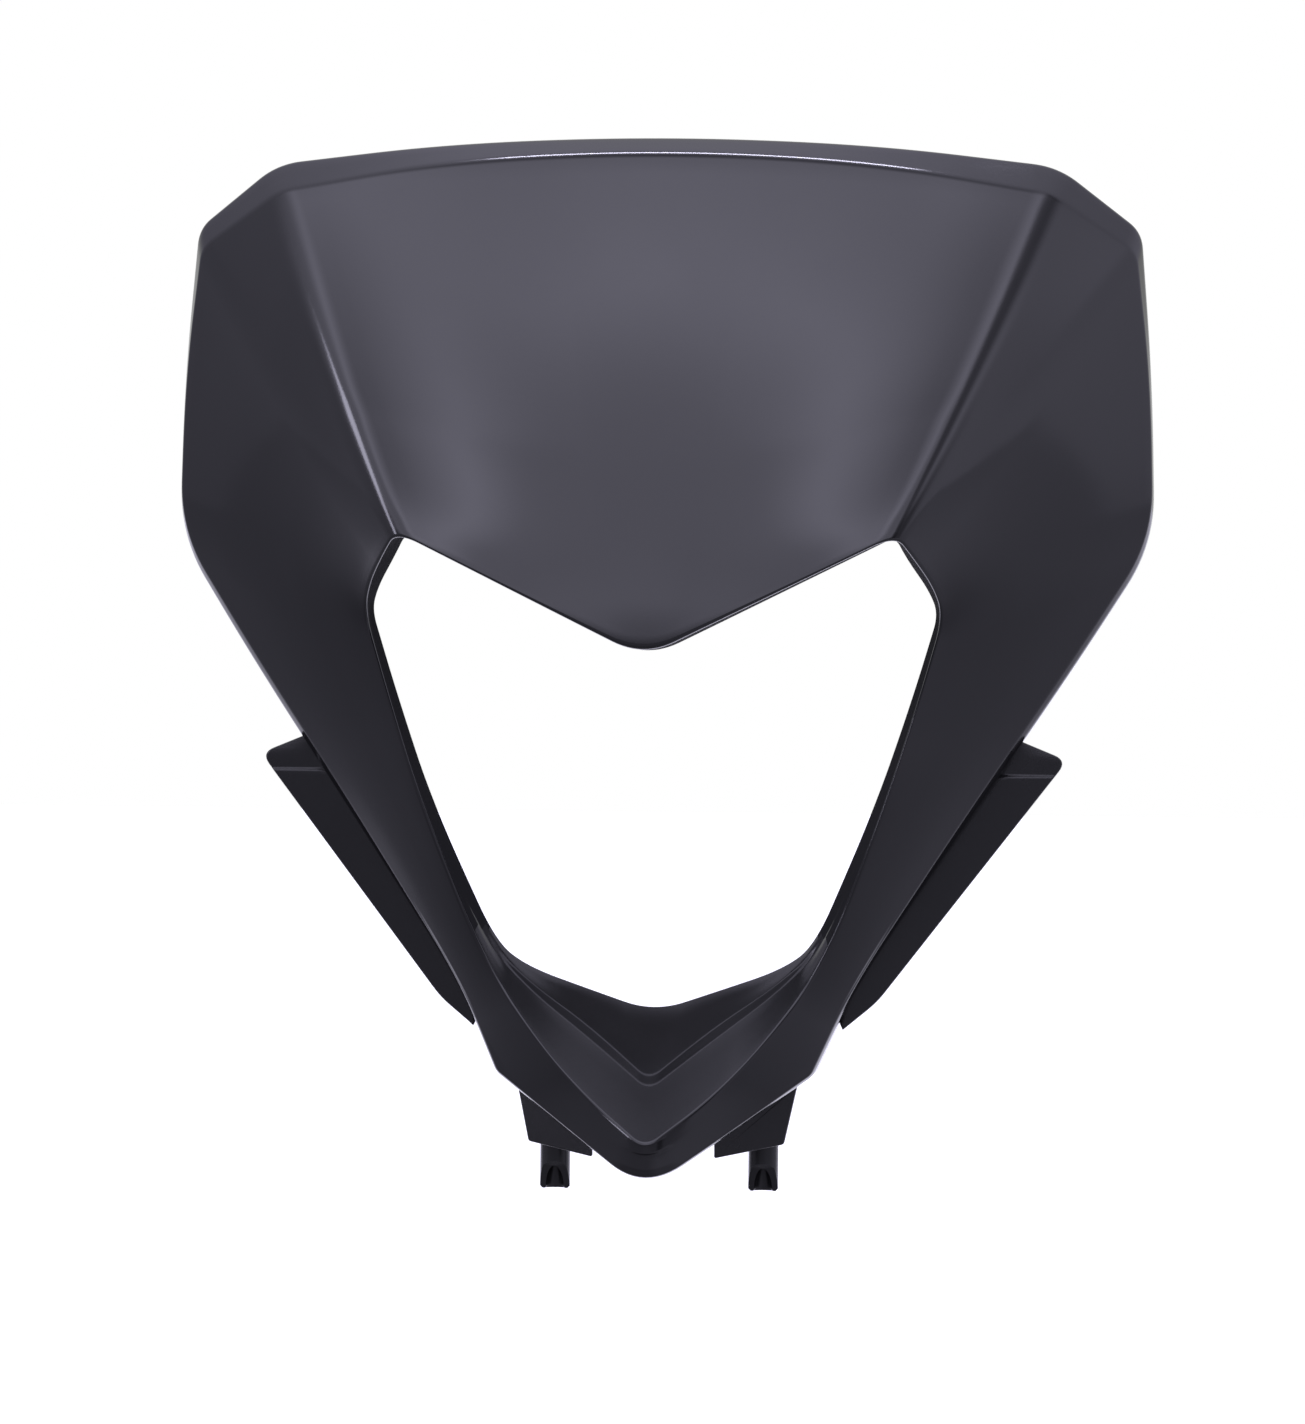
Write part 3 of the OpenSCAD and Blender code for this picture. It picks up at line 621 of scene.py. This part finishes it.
def tab(side_name, side, material):
    """A tab behind the chin, its shelf over the pin, and the web that stands on the shelf."""
    front = np.array([sin(TAB_TURN), -cos(TAB_TURN), 0])
    top = [TAB_W / 2 + TAB_FLARE, CHIN_CORNER_Z - TAB_UNDER]
    outer = [TAB_W / 2, TAB_LOW_Z]
    inner = [TAB_GAP / 2, TAB_LOW_Z - TAB_DROP]
    outline = rounded_outline(
        [top, outer, inner, [TAB_GAP / 2, TAB_LOW_Z + TAB_DROP]],
        [TAB_TOP_ROUND, TAB_ROUND, TAB_ROUND, TAB_TOP_ROUND],
    )
    flip = np.array([side, 1, 1])
    slope = -front[0] / front[1]
    origin = np.array([0, TAB_Y - TAB_W / 2 * slope, 0])
    plate(
        f"{side_name}_tab", outline, origin * flip, np.array([1, slope, 0]) * flip, [0, 0, 1],
        [0, WALL / abs(front[1]), 0], PLATE_EDGE, material,
    )
    pin_x = PIN_SPACING / 2
    rear = TAB_Y + (pin_x - TAB_W / 2) * tan(TAB_TURN) + WALL / cos(TAB_TURN) - TAB_BITE
    half = SHELF_W / 2
    angle = np.linspace(0, pi, 17)
    middle = np.array([half, -half]) * tan(TAB_TURN) + rear + TAB_BITE - WALL / 2 / cos(TAB_TURN)
    shelf = np.vstack([
        [[half, middle[0]], [half, middle[0] / 2]],
        np.stack([half * np.cos(angle), half * np.sin(angle)], axis=1),
        [[-half, middle[1] / 2], [-half, middle[1]]],
    ])
    plate(
        f"{side_name}_shelf", shelf, np.array([pin_x, 0, PIN_FREE]) * flip, [side, 0, 0], [0, 1, 0],
        [0, 0, WALL], PLATE_EDGE, material,
    )
    web = rounded_outline(
        [[0, 0], [0, WALL], [rear, WEB_H], [rear, 0]],
        [WEB_FOOT_ROUND, WEB_ROUND, WEB_ROUND, WEB_FOOT_ROUND],
    )
    plate(
        f"{side_name}_web", web, np.array([pin_x - WALL / 2, 0, PIN_FREE + 1]) * flip, [0, 1, 0],
        [0, 0, 1], np.array([WALL, 0, 0]) * flip, PLATE_EDGE, material,
    )


def pin(name, side, material):
    """A hollow locating pin. Each row is a ring of radius r. Its lower end is lifted to the slanted
    cut, which rises in two straight parts from the pin's axis to the front as -r * sin(a) grows."""
    outer, bore = PIN_D / 2, PIN_BORE / 2
    a = np.arange(PIN_TURNS) * 2 * pi / PIN_TURNS

    def low(radius, least):
        return np.maximum(least, np.interp(-radius * np.sin(a), [0, bore, outer], [0, PIN_CUT_IN, PIN_CUT]))

    down = np.linspace(0, 1, 14)
    rings = [(outer, mix(PIN_FREE + 1, low(outer, PIN_CHAMFER), t)) for t in down]
    rings += [
        (outer - PIN_CHAMFER, low(outer - PIN_CHAMFER, 0)),
        (bore + PIN_LIP, low(bore + PIN_LIP, 0)),
        (bore + PIN_LIP / 3, low(bore + PIN_LIP / 3, PIN_LIP / 4)),
    ]
    rings += [(bore, mix(low(bore, PIN_LIP), PIN_BORE_DEPTH, t)) for t in down]
    points = np.array([
        np.stack([PIN_SPACING / 2 + r * np.cos(a), r * np.sin(a), height], axis=-1) for r, height in rings
    ])
    rows, columns = points.shape[:2]
    quads = grid_faces(rows, columns, False, True)
    make_piece(
        name, mirrored(points, side), quads, end_caps(rows, columns), [material], crisp=radians(40)
    )


def back_plane(surface, place, x, z):
    """The plane that touches the back of the face at x, z in the front view: a point and its normal."""
    past_crease = place > inner_place(CREASE) + COLUMN_CLEAR
    rows = np.where(past_crease & (place < inner_place(LIP) - COLUMN_CLEAR))[0]
    part = surface[rows]
    off = np.hypot(part[..., 0] - x, part[..., 2] - z)
    r, i = np.unravel_index(off.argmin(), off.shape)
    p = part[r, i]
    r = min(max(r, 1), len(rows) - 2)
    along = part[r, (i + 1) % part.shape[1]] - part[r, i - 1]
    normal = unit(np.cross(along, part[r + 1, i] - part[r - 1, i]))
    if normal[1] > 0:
        normal = -normal
    depth = p[1] - ((x - p[0]) * normal[0] + (z - p[2]) * normal[2]) / normal[1]
    return np.array([x, depth, z]), normal


def wall_plane(surface, place, x, z):
    """The plane halfway into the wall behind x, z: its depth there, and its change of depth for
    each millimetre across and up."""
    point, normal = back_plane(surface, place, x, z)
    return point[1] + WALL / 2 / normal[1], -normal[0] / normal[1], -normal[2] / normal[1]


def wall_depths(surface, place, x, heights):
    """Depth of the middle of the wall behind x at each height, by linear interpolation between
    places at even steps."""
    marks = np.linspace(min(heights), max(heights), WALL_PLACES)
    return np.interp(heights, marks, [wall_plane(surface, place, x, z)[0] for z in marks])


def boss(name, side, z, surface, place, material):
    """A screw boss: a turned tube that starts inside the wall and ends at the rear face."""
    x = BOSS_SPACING_X / 2
    depth, across, up = wall_plane(surface, place, x, z)
    outer, bore = BOSS_D / 2, BOSS_BORE / 2
    edge = BOSS_EDGE
    a = np.arange(BOSS_TURNS) * 2 * pi / BOSS_TURNS
    rear = [
        (outer, edge), (outer - edge * 0.3, edge * 0.3), (outer - edge, 0), (bore + edge, 0),
        (bore + edge * 0.3, edge * 0.3), (bore, edge), (bore, BOSS_BORE_DEPTH / 2), (bore, BOSS_BORE_DEPTH),
    ]
    wall = depth + outer * (across * np.cos(a) + up * np.sin(a))
    rings = [(outer, mix(wall, BOSS_Y - edge, t)) for t in (0, 0.3, 0.7)]
    rings += [(r, BOSS_Y - set_in + 0 * a) for r, set_in in rear]
    points = np.array([np.stack([x + r * np.cos(a), y, z + r * np.sin(a)], axis=-1) for r, y in rings])
    rows, columns = points.shape[:2]
    quads = grid_faces(rows, columns, False, True)
    make_piece(name, mirrored(points, side), quads, end_caps(rows, columns), [material], crisp=radians(50))


def boss_ribs(name, side, z, surface, place, material):
    """The two ribs of a boss as one thin plate through its axis. Its slanted edges leave the boss
    near its rear face. Where they meet the wall follows from both lines' equations, and between
    those places the plate ends in the middle of the wall."""
    x = BOSS_SPACING_X / 2
    depth, _, up = wall_plane(surface, place, x, z)
    start = BOSS_D / 2 - RIB_BITE
    slope = (RIB_REACH + RIB_BITE) / (BOSS_Y - depth + BOSS_D - RIB_SET)
    below, above = [
        (start + slope * (BOSS_Y - depth - RIB_SET)) / (1 + way * slope * up) for way in (-1, 1)
    ]
    heights = np.linspace(z - below, z + above, WALL_PLACES)
    outline = np.vstack([
        [[BOSS_Y - RIB_SET, z - start]],
        np.stack([wall_depths(surface, place, x, heights), heights], axis=1),
        [[BOSS_Y - RIB_SET, z + start]],
    ])
    plate(
        name, outline, np.array([x - RIB_T / 2, 0, 0]) * [side, 1, 1], [0, 1, 0], [0, 0, 1],
        np.array([RIB_T, 0, 0]) * [side, 1, 1], RIB_EDGE, material,
    )


def ear(name, side, surface, place, material):
    """A fixing ear: the surface runs from the bore's wall over one face to the outline, and back
    over the other face, with its four edges rounded. The outline is a circle behind the bore and,
    towards the face, the nearest of two slanted lines and the wall, by polar equations. No point
    lies in front of the middle of the wall at its own height."""
    x = EAR_SPACING / 2
    depth, _, up = wall_plane(surface, place, x, EAR_Z)
    radius = EAR_BORE / 2 + EAR_RIM
    a = np.arange(EAR_TURNS) * 2 * pi / EAR_TURNS
    to_wall = (EAR_Y - depth) / np.maximum(NEVER_ZERO, up * np.sin(a) - np.cos(a))
    slope = (EAR_ROOT - radius) / (EAR_Y - depth + EAR_ROOT)
    to_slant = radius / np.maximum(NEVER_ZERO, np.abs(np.sin(a)) + slope * np.cos(a))
    reach = np.where(np.cos(a) < 0, np.minimum(to_wall, to_slant), radius)

    def ring(offset, away):
        heights = EAR_Z + away * np.sin(a)
        depths = np.maximum(EAR_Y + away * np.cos(a), wall_depths(surface, place, x, heights))
        return np.stack([x + offset + 0 * a, depths, heights], axis=-1)

    half = EAR_T / 2
    hole = EAR_BORE / 2
    loop = np.stack([ring(-half, hole), ring(-half, reach), ring(half, reach), ring(half, hole)])
    points, _ = rounded_loop(loop, np.full((4, EAR_TURNS), EAR_EDGE), [3] * 4, [1] * 4)
    rows, columns = points.shape[:2]
    make_piece(name, mirrored(points, side), grid_faces(rows, columns, True, True), (), [material])


def node(tree, kind, x=0, y=0, **values):
    """A new node at a place in the tree, with input values set by name."""
    new = tree.nodes.new(kind)
    new.location = (x, y)
    for name, value in values.items():
        new.inputs[name.replace("_", " ")].default_value = value
    return new


# The part of the smudge noise over which the roughness changes, and the height of the skin's relief
SMUDGE_LOW = 0.35
SMUDGE_HIGH = 0.65
RELIEF_M = 0.0002


def moulded_skin():
    """Node group: the slow swell and the fine peel of moulded plastic, and soft smudges."""
    group = bpy.data.node_groups.new("moulded_skin", "ShaderNodeTree")
    face = group.interface
    for name, usual in (("Peel Scale", 900.0), ("Peel", 0.5), ("Swell", 0.2), ("Smudge Scale", 18.0)):
        face.new_socket(name=name, in_out="INPUT", socket_type="NodeSocketFloat").default_value = usual
    face.new_socket(name="Height", in_out="OUTPUT", socket_type="NodeSocketFloat")
    face.new_socket(name="Smudge", in_out="OUTPUT", socket_type="NodeSocketFloat")
    inputs = node(group, "NodeGroupInput", -900)
    outputs = node(group, "NodeGroupOutput", 500)
    where = node(group, "ShaderNodeTexCoord", -900, -300)
    peel = node(group, "ShaderNodeTexNoise", -500, 200, Detail=3.0, Roughness=0.55)
    swell = node(group, "ShaderNodeTexNoise", -500, -50, Scale=14.0, Detail=1.0)
    smudge = node(group, "ShaderNodeTexNoise", -500, -300, Detail=4.0, Roughness=0.6)
    peel_part = node(group, "ShaderNodeMath", -200, 200)
    swell_part = node(group, "ShaderNodeMath", -200, -50)
    height = node(group, "ShaderNodeMath", 100, 100)
    for part in (peel_part, swell_part):
        part.operation = "MULTIPLY"
    link = group.links.new
    for noise in (peel, swell, smudge):
        link(where.outputs["Object"], noise.inputs["Vector"])
    link(inputs.outputs["Peel Scale"], peel.inputs["Scale"])
    link(inputs.outputs["Smudge Scale"], smudge.inputs["Scale"])
    link(peel.outputs["Fac"], peel_part.inputs[0])
    link(inputs.outputs["Peel"], peel_part.inputs[1])
    link(swell.outputs["Fac"], swell_part.inputs[0])
    link(inputs.outputs["Swell"], swell_part.inputs[1])
    link(peel_part.outputs[0], height.inputs[0])
    link(swell_part.outputs[0], height.inputs[1])
    link(height.outputs[0], outputs.inputs["Height"])
    link(smudge.outputs["Fac"], outputs.inputs["Smudge"])
    return group


def plastic(name, skin, colour, pale, rough, peel_scale, peel, swell, bump, ior):
    """Black moulded plastic: its colour goes from colour to pale and its roughness from the first
    to the second value of rough with the smudges, and the skin's height bends the gloss."""
    material = bpy.data.materials.new(name)
    material.use_nodes = True
    tree = material.node_tree
    shader = tree.nodes["Principled BSDF"]
    shader.inputs["IOR"].default_value = ior
    skin_node = node(tree, "ShaderNodeGroup", -800)
    skin_node.node_tree = skin
    skin_node.inputs["Peel Scale"].default_value = peel_scale
    skin_node.inputs["Peel"].default_value = peel
    skin_node.inputs["Swell"].default_value = swell
    tint = node(tree, "ShaderNodeMix", -400, 200)
    tint.data_type = "RGBA"
    tint.inputs["A"].default_value = (*colour, 1)
    tint.inputs["B"].default_value = (*pale, 1)
    drift = node(tree, "ShaderNodeMapRange", -400, -50)
    drift.inputs["From Min"].default_value = SMUDGE_LOW
    drift.inputs["From Max"].default_value = SMUDGE_HIGH
    drift.inputs["To Min"].default_value = rough[0]
    drift.inputs["To Max"].default_value = rough[1]
    relief = node(tree, "ShaderNodeBump", -400, -350, Strength=bump, Distance=RELIEF_M)
    link = tree.links.new
    link(skin_node.outputs["Smudge"], tint.inputs["Factor"])
    link(tint.outputs["Result"], shader.inputs["Base Color"])
    link(skin_node.outputs["Smudge"], drift.inputs["Value"])
    link(drift.outputs["Result"], shader.inputs["Roughness"])
    link(skin_node.outputs["Height"], relief.inputs["Height"])
    link(relief.outputs["Normal"], shader.inputs["Normal"])
    return material


# Places of the finishes in the shell's list of materials. The third is a paler copy of the black, whose
# lighter base is painted light on the chin's ramp
GLOSS, SATIN, LIGHTENED, DULL = range(4)


def build_cowl():
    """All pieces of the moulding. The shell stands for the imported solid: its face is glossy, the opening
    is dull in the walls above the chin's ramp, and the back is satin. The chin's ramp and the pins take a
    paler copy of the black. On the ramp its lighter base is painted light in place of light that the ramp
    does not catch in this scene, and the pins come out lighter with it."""
    skin = moulded_skin()
    gloss = plastic(
        "gloss_black", skin, (0.003, 0.003, 0.0036), (0.004, 0.004, 0.0046), rough=(0.1, 0.14),
        peel_scale=1400, peel=0.3, swell=0.5, bump=0.1, ior=1.5,
    )
    satin = plastic(
        "satin_black", skin, (0.004, 0.004, 0.0044), (0.006, 0.006, 0.0064), rough=(0.22, 0.28),
        peel_scale=2600, peel=1.0, swell=0.2, bump=0.3, ior=1.42,
    )
    dull = plastic(
        "dull_black", skin, (0.012, 0.012, 0.0126), (0.015, 0.015, 0.0157), rough=(0.75, 0.85),
        peel_scale=2000, peel=0.6, swell=0.3, bump=0.2, ior=1.14,
    )
    # A paler copy of the black: on the chin's ramp its lighter base is painted light, and the pins are
    # lighter with it
    lightened = plastic(
        "lightened_black", skin, (0.012, 0.012, 0.0126), (0.015, 0.015, 0.0157), rough=(0.2, 0.26),
        peel_scale=2000, peel=0.6, swell=0.3, bump=0.2, ior=1.38,
    )
    surface, place = shell_surface()
    rows, columns = surface.shape[:2]
    quads = grid_faces(rows, columns, True, True)
    place_of = place[quads[:, 0] // columns]
    height_of = surface.reshape(-1, 3)[quads[:, 0], 2]
    # Low in the opening the paler black paints light onto the chin's ramp, and the walls above it are dull
    opening_lightened_and_dull = np.where(height_of < OPENING_LOW_Z + RAMP_LIGHTENED_RISE, LIGHTENED, DULL)
    finish_and_lightening = np.where(place_of < LIP, opening_lightened_and_dull, GLOSS)
    finish_and_lightening[place_of > REAR + 0.5] = SATIN
    shell = make_piece("cowl_shell", surface, quads, (), [gloss, satin, lightened, dull], finish_and_lightening)
    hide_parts("cowl")
    for side_name, side in (("left", 1), ("right", -1)):
        skirt(f"{side_name}_skirt", side, satin)
        tab(side_name, side, satin)
        pin(f"{side_name}_pin", side, lightened)
        for level, z in (("low", BOSS_LOW_Z), ("high", BOSS_LOW_Z + BOSS_SPACING_Z)):
            boss(f"{side_name}_{level}_boss", side, z, surface, place, satin)
            boss_ribs(f"{side_name}_{level}_ribs", side, z, surface, place, satin)
        ear(f"{side_name}_ear", side, surface, place, satin)


# The camera, worked out from the mirrored pairs of corners in the photograph
PHOTO_H = 1424
FOCAL_PX = 7097
CAMERA_TURN = radians(4.5)
CAMERA_ROLL = radians(0.55)
CAMERA_AWAY = 2.2
AIM = Vector((-0.00105, -0.0305, 0.150))


def build_camera():
    """A level camera at the photograph's distance, angle, roll and field of view."""
    camera = bpy.data.objects.new("camera", bpy.data.cameras.new("camera"))
    bpy.context.scene.collection.objects.link(camera)
    camera.data.sensor_fit = "VERTICAL"
    camera.data.angle = 2 * atan(PHOTO_H / 2 / FOCAL_PX)
    place = AIM + CAMERA_AWAY * Vector((sin(CAMERA_TURN), -cos(CAMERA_TURN), 0))
    turn = (AIM - place).to_track_quat("-Z", "Y").to_matrix().to_4x4()
    camera.matrix_world = Matrix.Translation(place) @ turn @ Matrix.Rotation(CAMERA_ROLL, 4, "Z")
    bpy.context.scene.camera = camera


# Colour of the studio's light, a little cool as in the photograph
TINT = (1.0, 0.975, 1.22)


def softbox(name, place, aim, width, height, power):
    """A rectangular lamp that looks from place at aim, in metres and watts."""
    lamp = bpy.data.lights.new(name, "AREA")
    lamp.shape = "RECTANGLE"
    lamp.size, lamp.size_y = width, height
    lamp.energy = power
    lamp.color = TINT
    holder = bpy.data.objects.new(name, lamp)
    bpy.context.scene.collection.objects.link(holder)
    turn = (Vector(aim) - Vector(place)).to_track_quat("-Z", "Y").to_matrix().to_4x4()
    holder.matrix_world = Matrix.Translation(Vector(place)) @ turn


def ramp(value, start, end, low, high, x, y, kind="SMOOTHSTEP"):
    """A change from low to high while one value goes from start to end. x and y place its node."""
    tree = value.id_data
    step = node(tree, "ShaderNodeMapRange", x, y)
    step.interpolation_type = kind
    for key, limit in (("From Min", start), ("From Max", end), ("To Min", low), ("To Max", high)):
        step.inputs[key].default_value = limit
    tree.links.new(value, step.inputs["Value"])
    return step.outputs["Result"]


def combine(kind, a, b, x, y):
    """Two values worked into one, by the kind of the math node. The second may be a plain number."""
    tree = a.id_data
    new = node(tree, "ShaderNodeMath", x, y)
    new.operation = kind
    tree.links.new(a, new.inputs[0])
    if isinstance(b, (int, float)):
        new.inputs[1].default_value = b
    else:
        tree.links.new(b, new.inputs[1])
    return new.outputs[0]


def seen_white(tree, depth, y):
    """1 for camera rays, and for mirrored and refracted rays that run on behind the cowl. For these
    it grows from 0 to 1 while the depth of their direction goes from 0.35 to 0.7."""
    ray = node(tree, "ShaderNodeLightPath", -450, y - 200)
    glossy, passing = ray.outputs["Is Glossy Ray"], ray.outputs["Is Transmission Ray"]
    passed = combine("MAXIMUM", glossy, passing, -200, y - 200)
    behind = combine("MULTIPLY", passed, ramp(depth, 0.35, 0.7, 0, 1, -650, y), 0, y)
    return combine("MAXIMUM", ray.outputs["Is Camera Ray"], behind, 200, y)


def build_floor():
    """A pale floor below the hung cowl. To the camera it is lit by the lamps and glows a little, and
    clips to white, in the cowl's soft shadow too. So it does to mirrored rays that run on behind the
    cowl. To everything else it is an even grey, lighter far away and to the right."""
    floor_z = -0.45
    half = 40.0
    mesh = bpy.data.meshes.new("floor")
    corners = [(x * half, y * half, floor_z) for x, y in ((-1, -1), (1, -1), (1, 1), (-1, 1))]
    mesh.from_pydata(corners, [], [[0, 1, 2, 3]])
    floor = bpy.data.objects.new("floor", mesh)
    bpy.context.scene.collection.objects.link(floor)
    material = bpy.data.materials.new("pale_floor")
    material.use_nodes = True
    tree = material.node_tree
    link = tree.links.new
    tree.nodes.remove(tree.nodes["Principled BSDF"])
    where = node(tree, "ShaderNodeTexCoord", -1300)
    way = node(tree, "ShaderNodeVectorMath", -1100)
    way.operation = "NORMALIZE"
    parts = node(tree, "ShaderNodeSeparateXYZ", -900)
    link(where.outputs["Object"], way.inputs[0])
    link(way.outputs["Vector"], parts.inputs["Vector"])
    across, depth, height = (parts.outputs[axis] for axis in "XYZ")
    far = ramp(height, -0.45, -0.15, 0.3, 0.42, -650, 300)
    right = ramp(across, 0, 0.6, 1, 1.5, -650, 50)
    level = combine("MULTIPLY", far, right, -400, 200)
    grey = node(tree, "ShaderNodeEmission", -100, 200)
    grey.inputs["Color"].default_value = (*TINT, 1)
    link(level, grey.inputs["Strength"])
    matt = node(tree, "ShaderNodeBsdfDiffuse", 0, -350, Color=(0.9, 0.9, 0.9, 1))
    glow = node(tree, "ShaderNodeEmission", 0, -500, Strength=0.3)
    white = node(tree, "ShaderNodeAddShader", 200, -400)
    blend = node(tree, "ShaderNodeMixShader", 500)
    output = tree.nodes["Material Output"]
    output.location = (700, 0)
    link(matt.outputs["BSDF"], white.inputs[0])
    link(glow.outputs["Emission"], white.inputs[1])
    link(seen_white(tree, depth, -700), blend.inputs["Fac"])
    link(grey.outputs["Emission"], blend.inputs[1])
    link(white.outputs["Shader"], blend.inputs[2])
    link(blend.outputs["Shader"], output.inputs["Surface"])
    mesh.materials.append(material)


# Level of the studio's light at heights of the direction, from -1 straight down to 1 straight up: at
# the sides and behind, and in front, where a wide window stands above the camera. Past its last
# height each keeps its last level
SIDE_LEVELS = ((-1.0, 0.2), (-0.5, 0.22), (-0.26, 0.35), (0.0, 0.5), (0.34, 0.57), (0.6, 0.85), (0.9, 1.3))
FRONT_LEVELS = (
    (-1.0, 0.4), (0.15, 0.4), (0.24, 0.5), (0.4, 1.9), (0.53, 1.7), (0.62, 1.8),
    (0.7, 3.0), (0.8, 1.8), (0.86, 1.0), (0.92, 0.6),
)
BRIGHTEST = 3.0


def build_world():
    """White to the camera, and to mirrored rays that run on behind the cowl. To everything else it
    is a studio: a wide window in front, and walls that are brighter towards the top and the right.
    Each ramp below runs over one part of the direction: across, depth or height."""
    world = bpy.data.worlds.new("studio")
    bpy.context.scene.world = world
    world.use_nodes = True
    tree = world.node_tree
    link = tree.links.new
    background = tree.nodes["Background"]
    background.location = (500, 0)
    seen = node(tree, "ShaderNodeBackground", 500, -250, Strength=1.0)
    seen.inputs["Color"].default_value = (1, 1, 1, 1)
    where = node(tree, "ShaderNodeTexCoord", -1300)
    parts = node(tree, "ShaderNodeSeparateXYZ", -1100)
    link(where.outputs["Generated"], parts.inputs["Vector"])
    across, depth, height = (parts.outputs[axis] for axis in "XYZ")

    share = ramp(height, -1, 1, 0, 1, -900, 600, "LINEAR")

    def profile(levels, y):
        """Straight lines between levels at given heights, in shares of the brightest."""
        curve = node(tree, "ShaderNodeValToRGB", -650, y)
        stops = curve.color_ramp.elements
        stops.remove(stops[1])
        stops[0].position = 0
        stops[0].color = (*[levels[0][1] / BRIGHTEST] * 3, 1)
        for at_height, level in levels[1:]:
            stops.new((at_height + 1) / 2).color = (*[level / BRIGHTEST] * 3, 1)
        link(share, curve.inputs["Fac"])
        return curve.outputs["Color"]

    # the lower part of the wall on the right is up to 1.8 times as bright
    to_right = ramp(across, 0, 0.6, 0, 0.8, -900, 100)
    low_down = ramp(height, 0.3, 0.7, 1, 0, -900, -150)
    right = combine("MULTIPLY", to_right, low_down, -450, 0)
    sides = combine("MULTIPLY", profile(SIDE_LEVELS, 300), combine("ADD", right, 1.0, -250, 0), -50, 200)
    # the window is a little dimmer away from its middle
    off_middle = combine("ABSOLUTE", across, 0.0, -1100, -1500)
    even = ramp(off_middle, 0.08, 0.35, 1, 0.88, -900, -1500)
    window = combine("MULTIPLY", profile(FRONT_LEVELS, 600), even, -50, 500)
    mix_in = node(tree, "ShaderNodeMix", 150, 200)
    link(ramp(depth, -0.12, -0.4, 0, 1, -900, -400), mix_in.inputs["Factor"])
    link(sides, mix_in.inputs["A"])
    link(window, mix_in.inputs["B"])
    # a dark gap on the right, between the window and the wall, takes away up to 0.65 of the light
    gap_start = ramp(across, 0.56, 0.66, 0, 1, -900, -650)
    gap_end = ramp(across, 0.74, 0.86, 1, 0, -900, -900)
    in_front = ramp(depth, -0.05, -0.2, 0, -0.65, -900, -1150)
    gap = combine("MULTIPLY", combine("MULTIPLY", gap_start, gap_end, -650, -700), in_front, -450, -700)
    level = combine("MULTIPLY", mix_in.outputs["Result"], combine("ADD", gap, 1.0, 100, -200), 300, -100)
    link(combine("MULTIPLY", level, BRIGHTEST, 300, 100), background.inputs["Strength"])
    background.inputs["Color"].default_value = (*TINT, 1)

    blend = node(tree, "ShaderNodeMixShader", 750)
    tree.nodes["World Output"].location = (950, 0)
    link(seen_white(tree, depth, -1400), blend.inputs["Fac"])
    link(background.outputs["Background"], blend.inputs[1])
    link(seen.outputs["Background"], blend.inputs[2])
    link(blend.outputs["Shader"], tree.nodes["World Output"].inputs["Surface"])


def build_studio():
    """A strip lamp for the crease on the camera's left, one for the edge along the top, and the
    world and floor."""
    softbox("edge_strip", (-1.4, -0.6, 0.6), (0, -0.05, 0.2), width=0.22, height=0.9, power=4.0)
    softbox("top_strip", (0, -0.03, 1.75), (0, -0.03, 0.32), width=0.9, height=0.12, power=12.0)
    build_world()
    build_floor()
    bpy.context.scene.view_settings.view_transform = "Standard"


build_cowl()
build_camera()
build_studio()
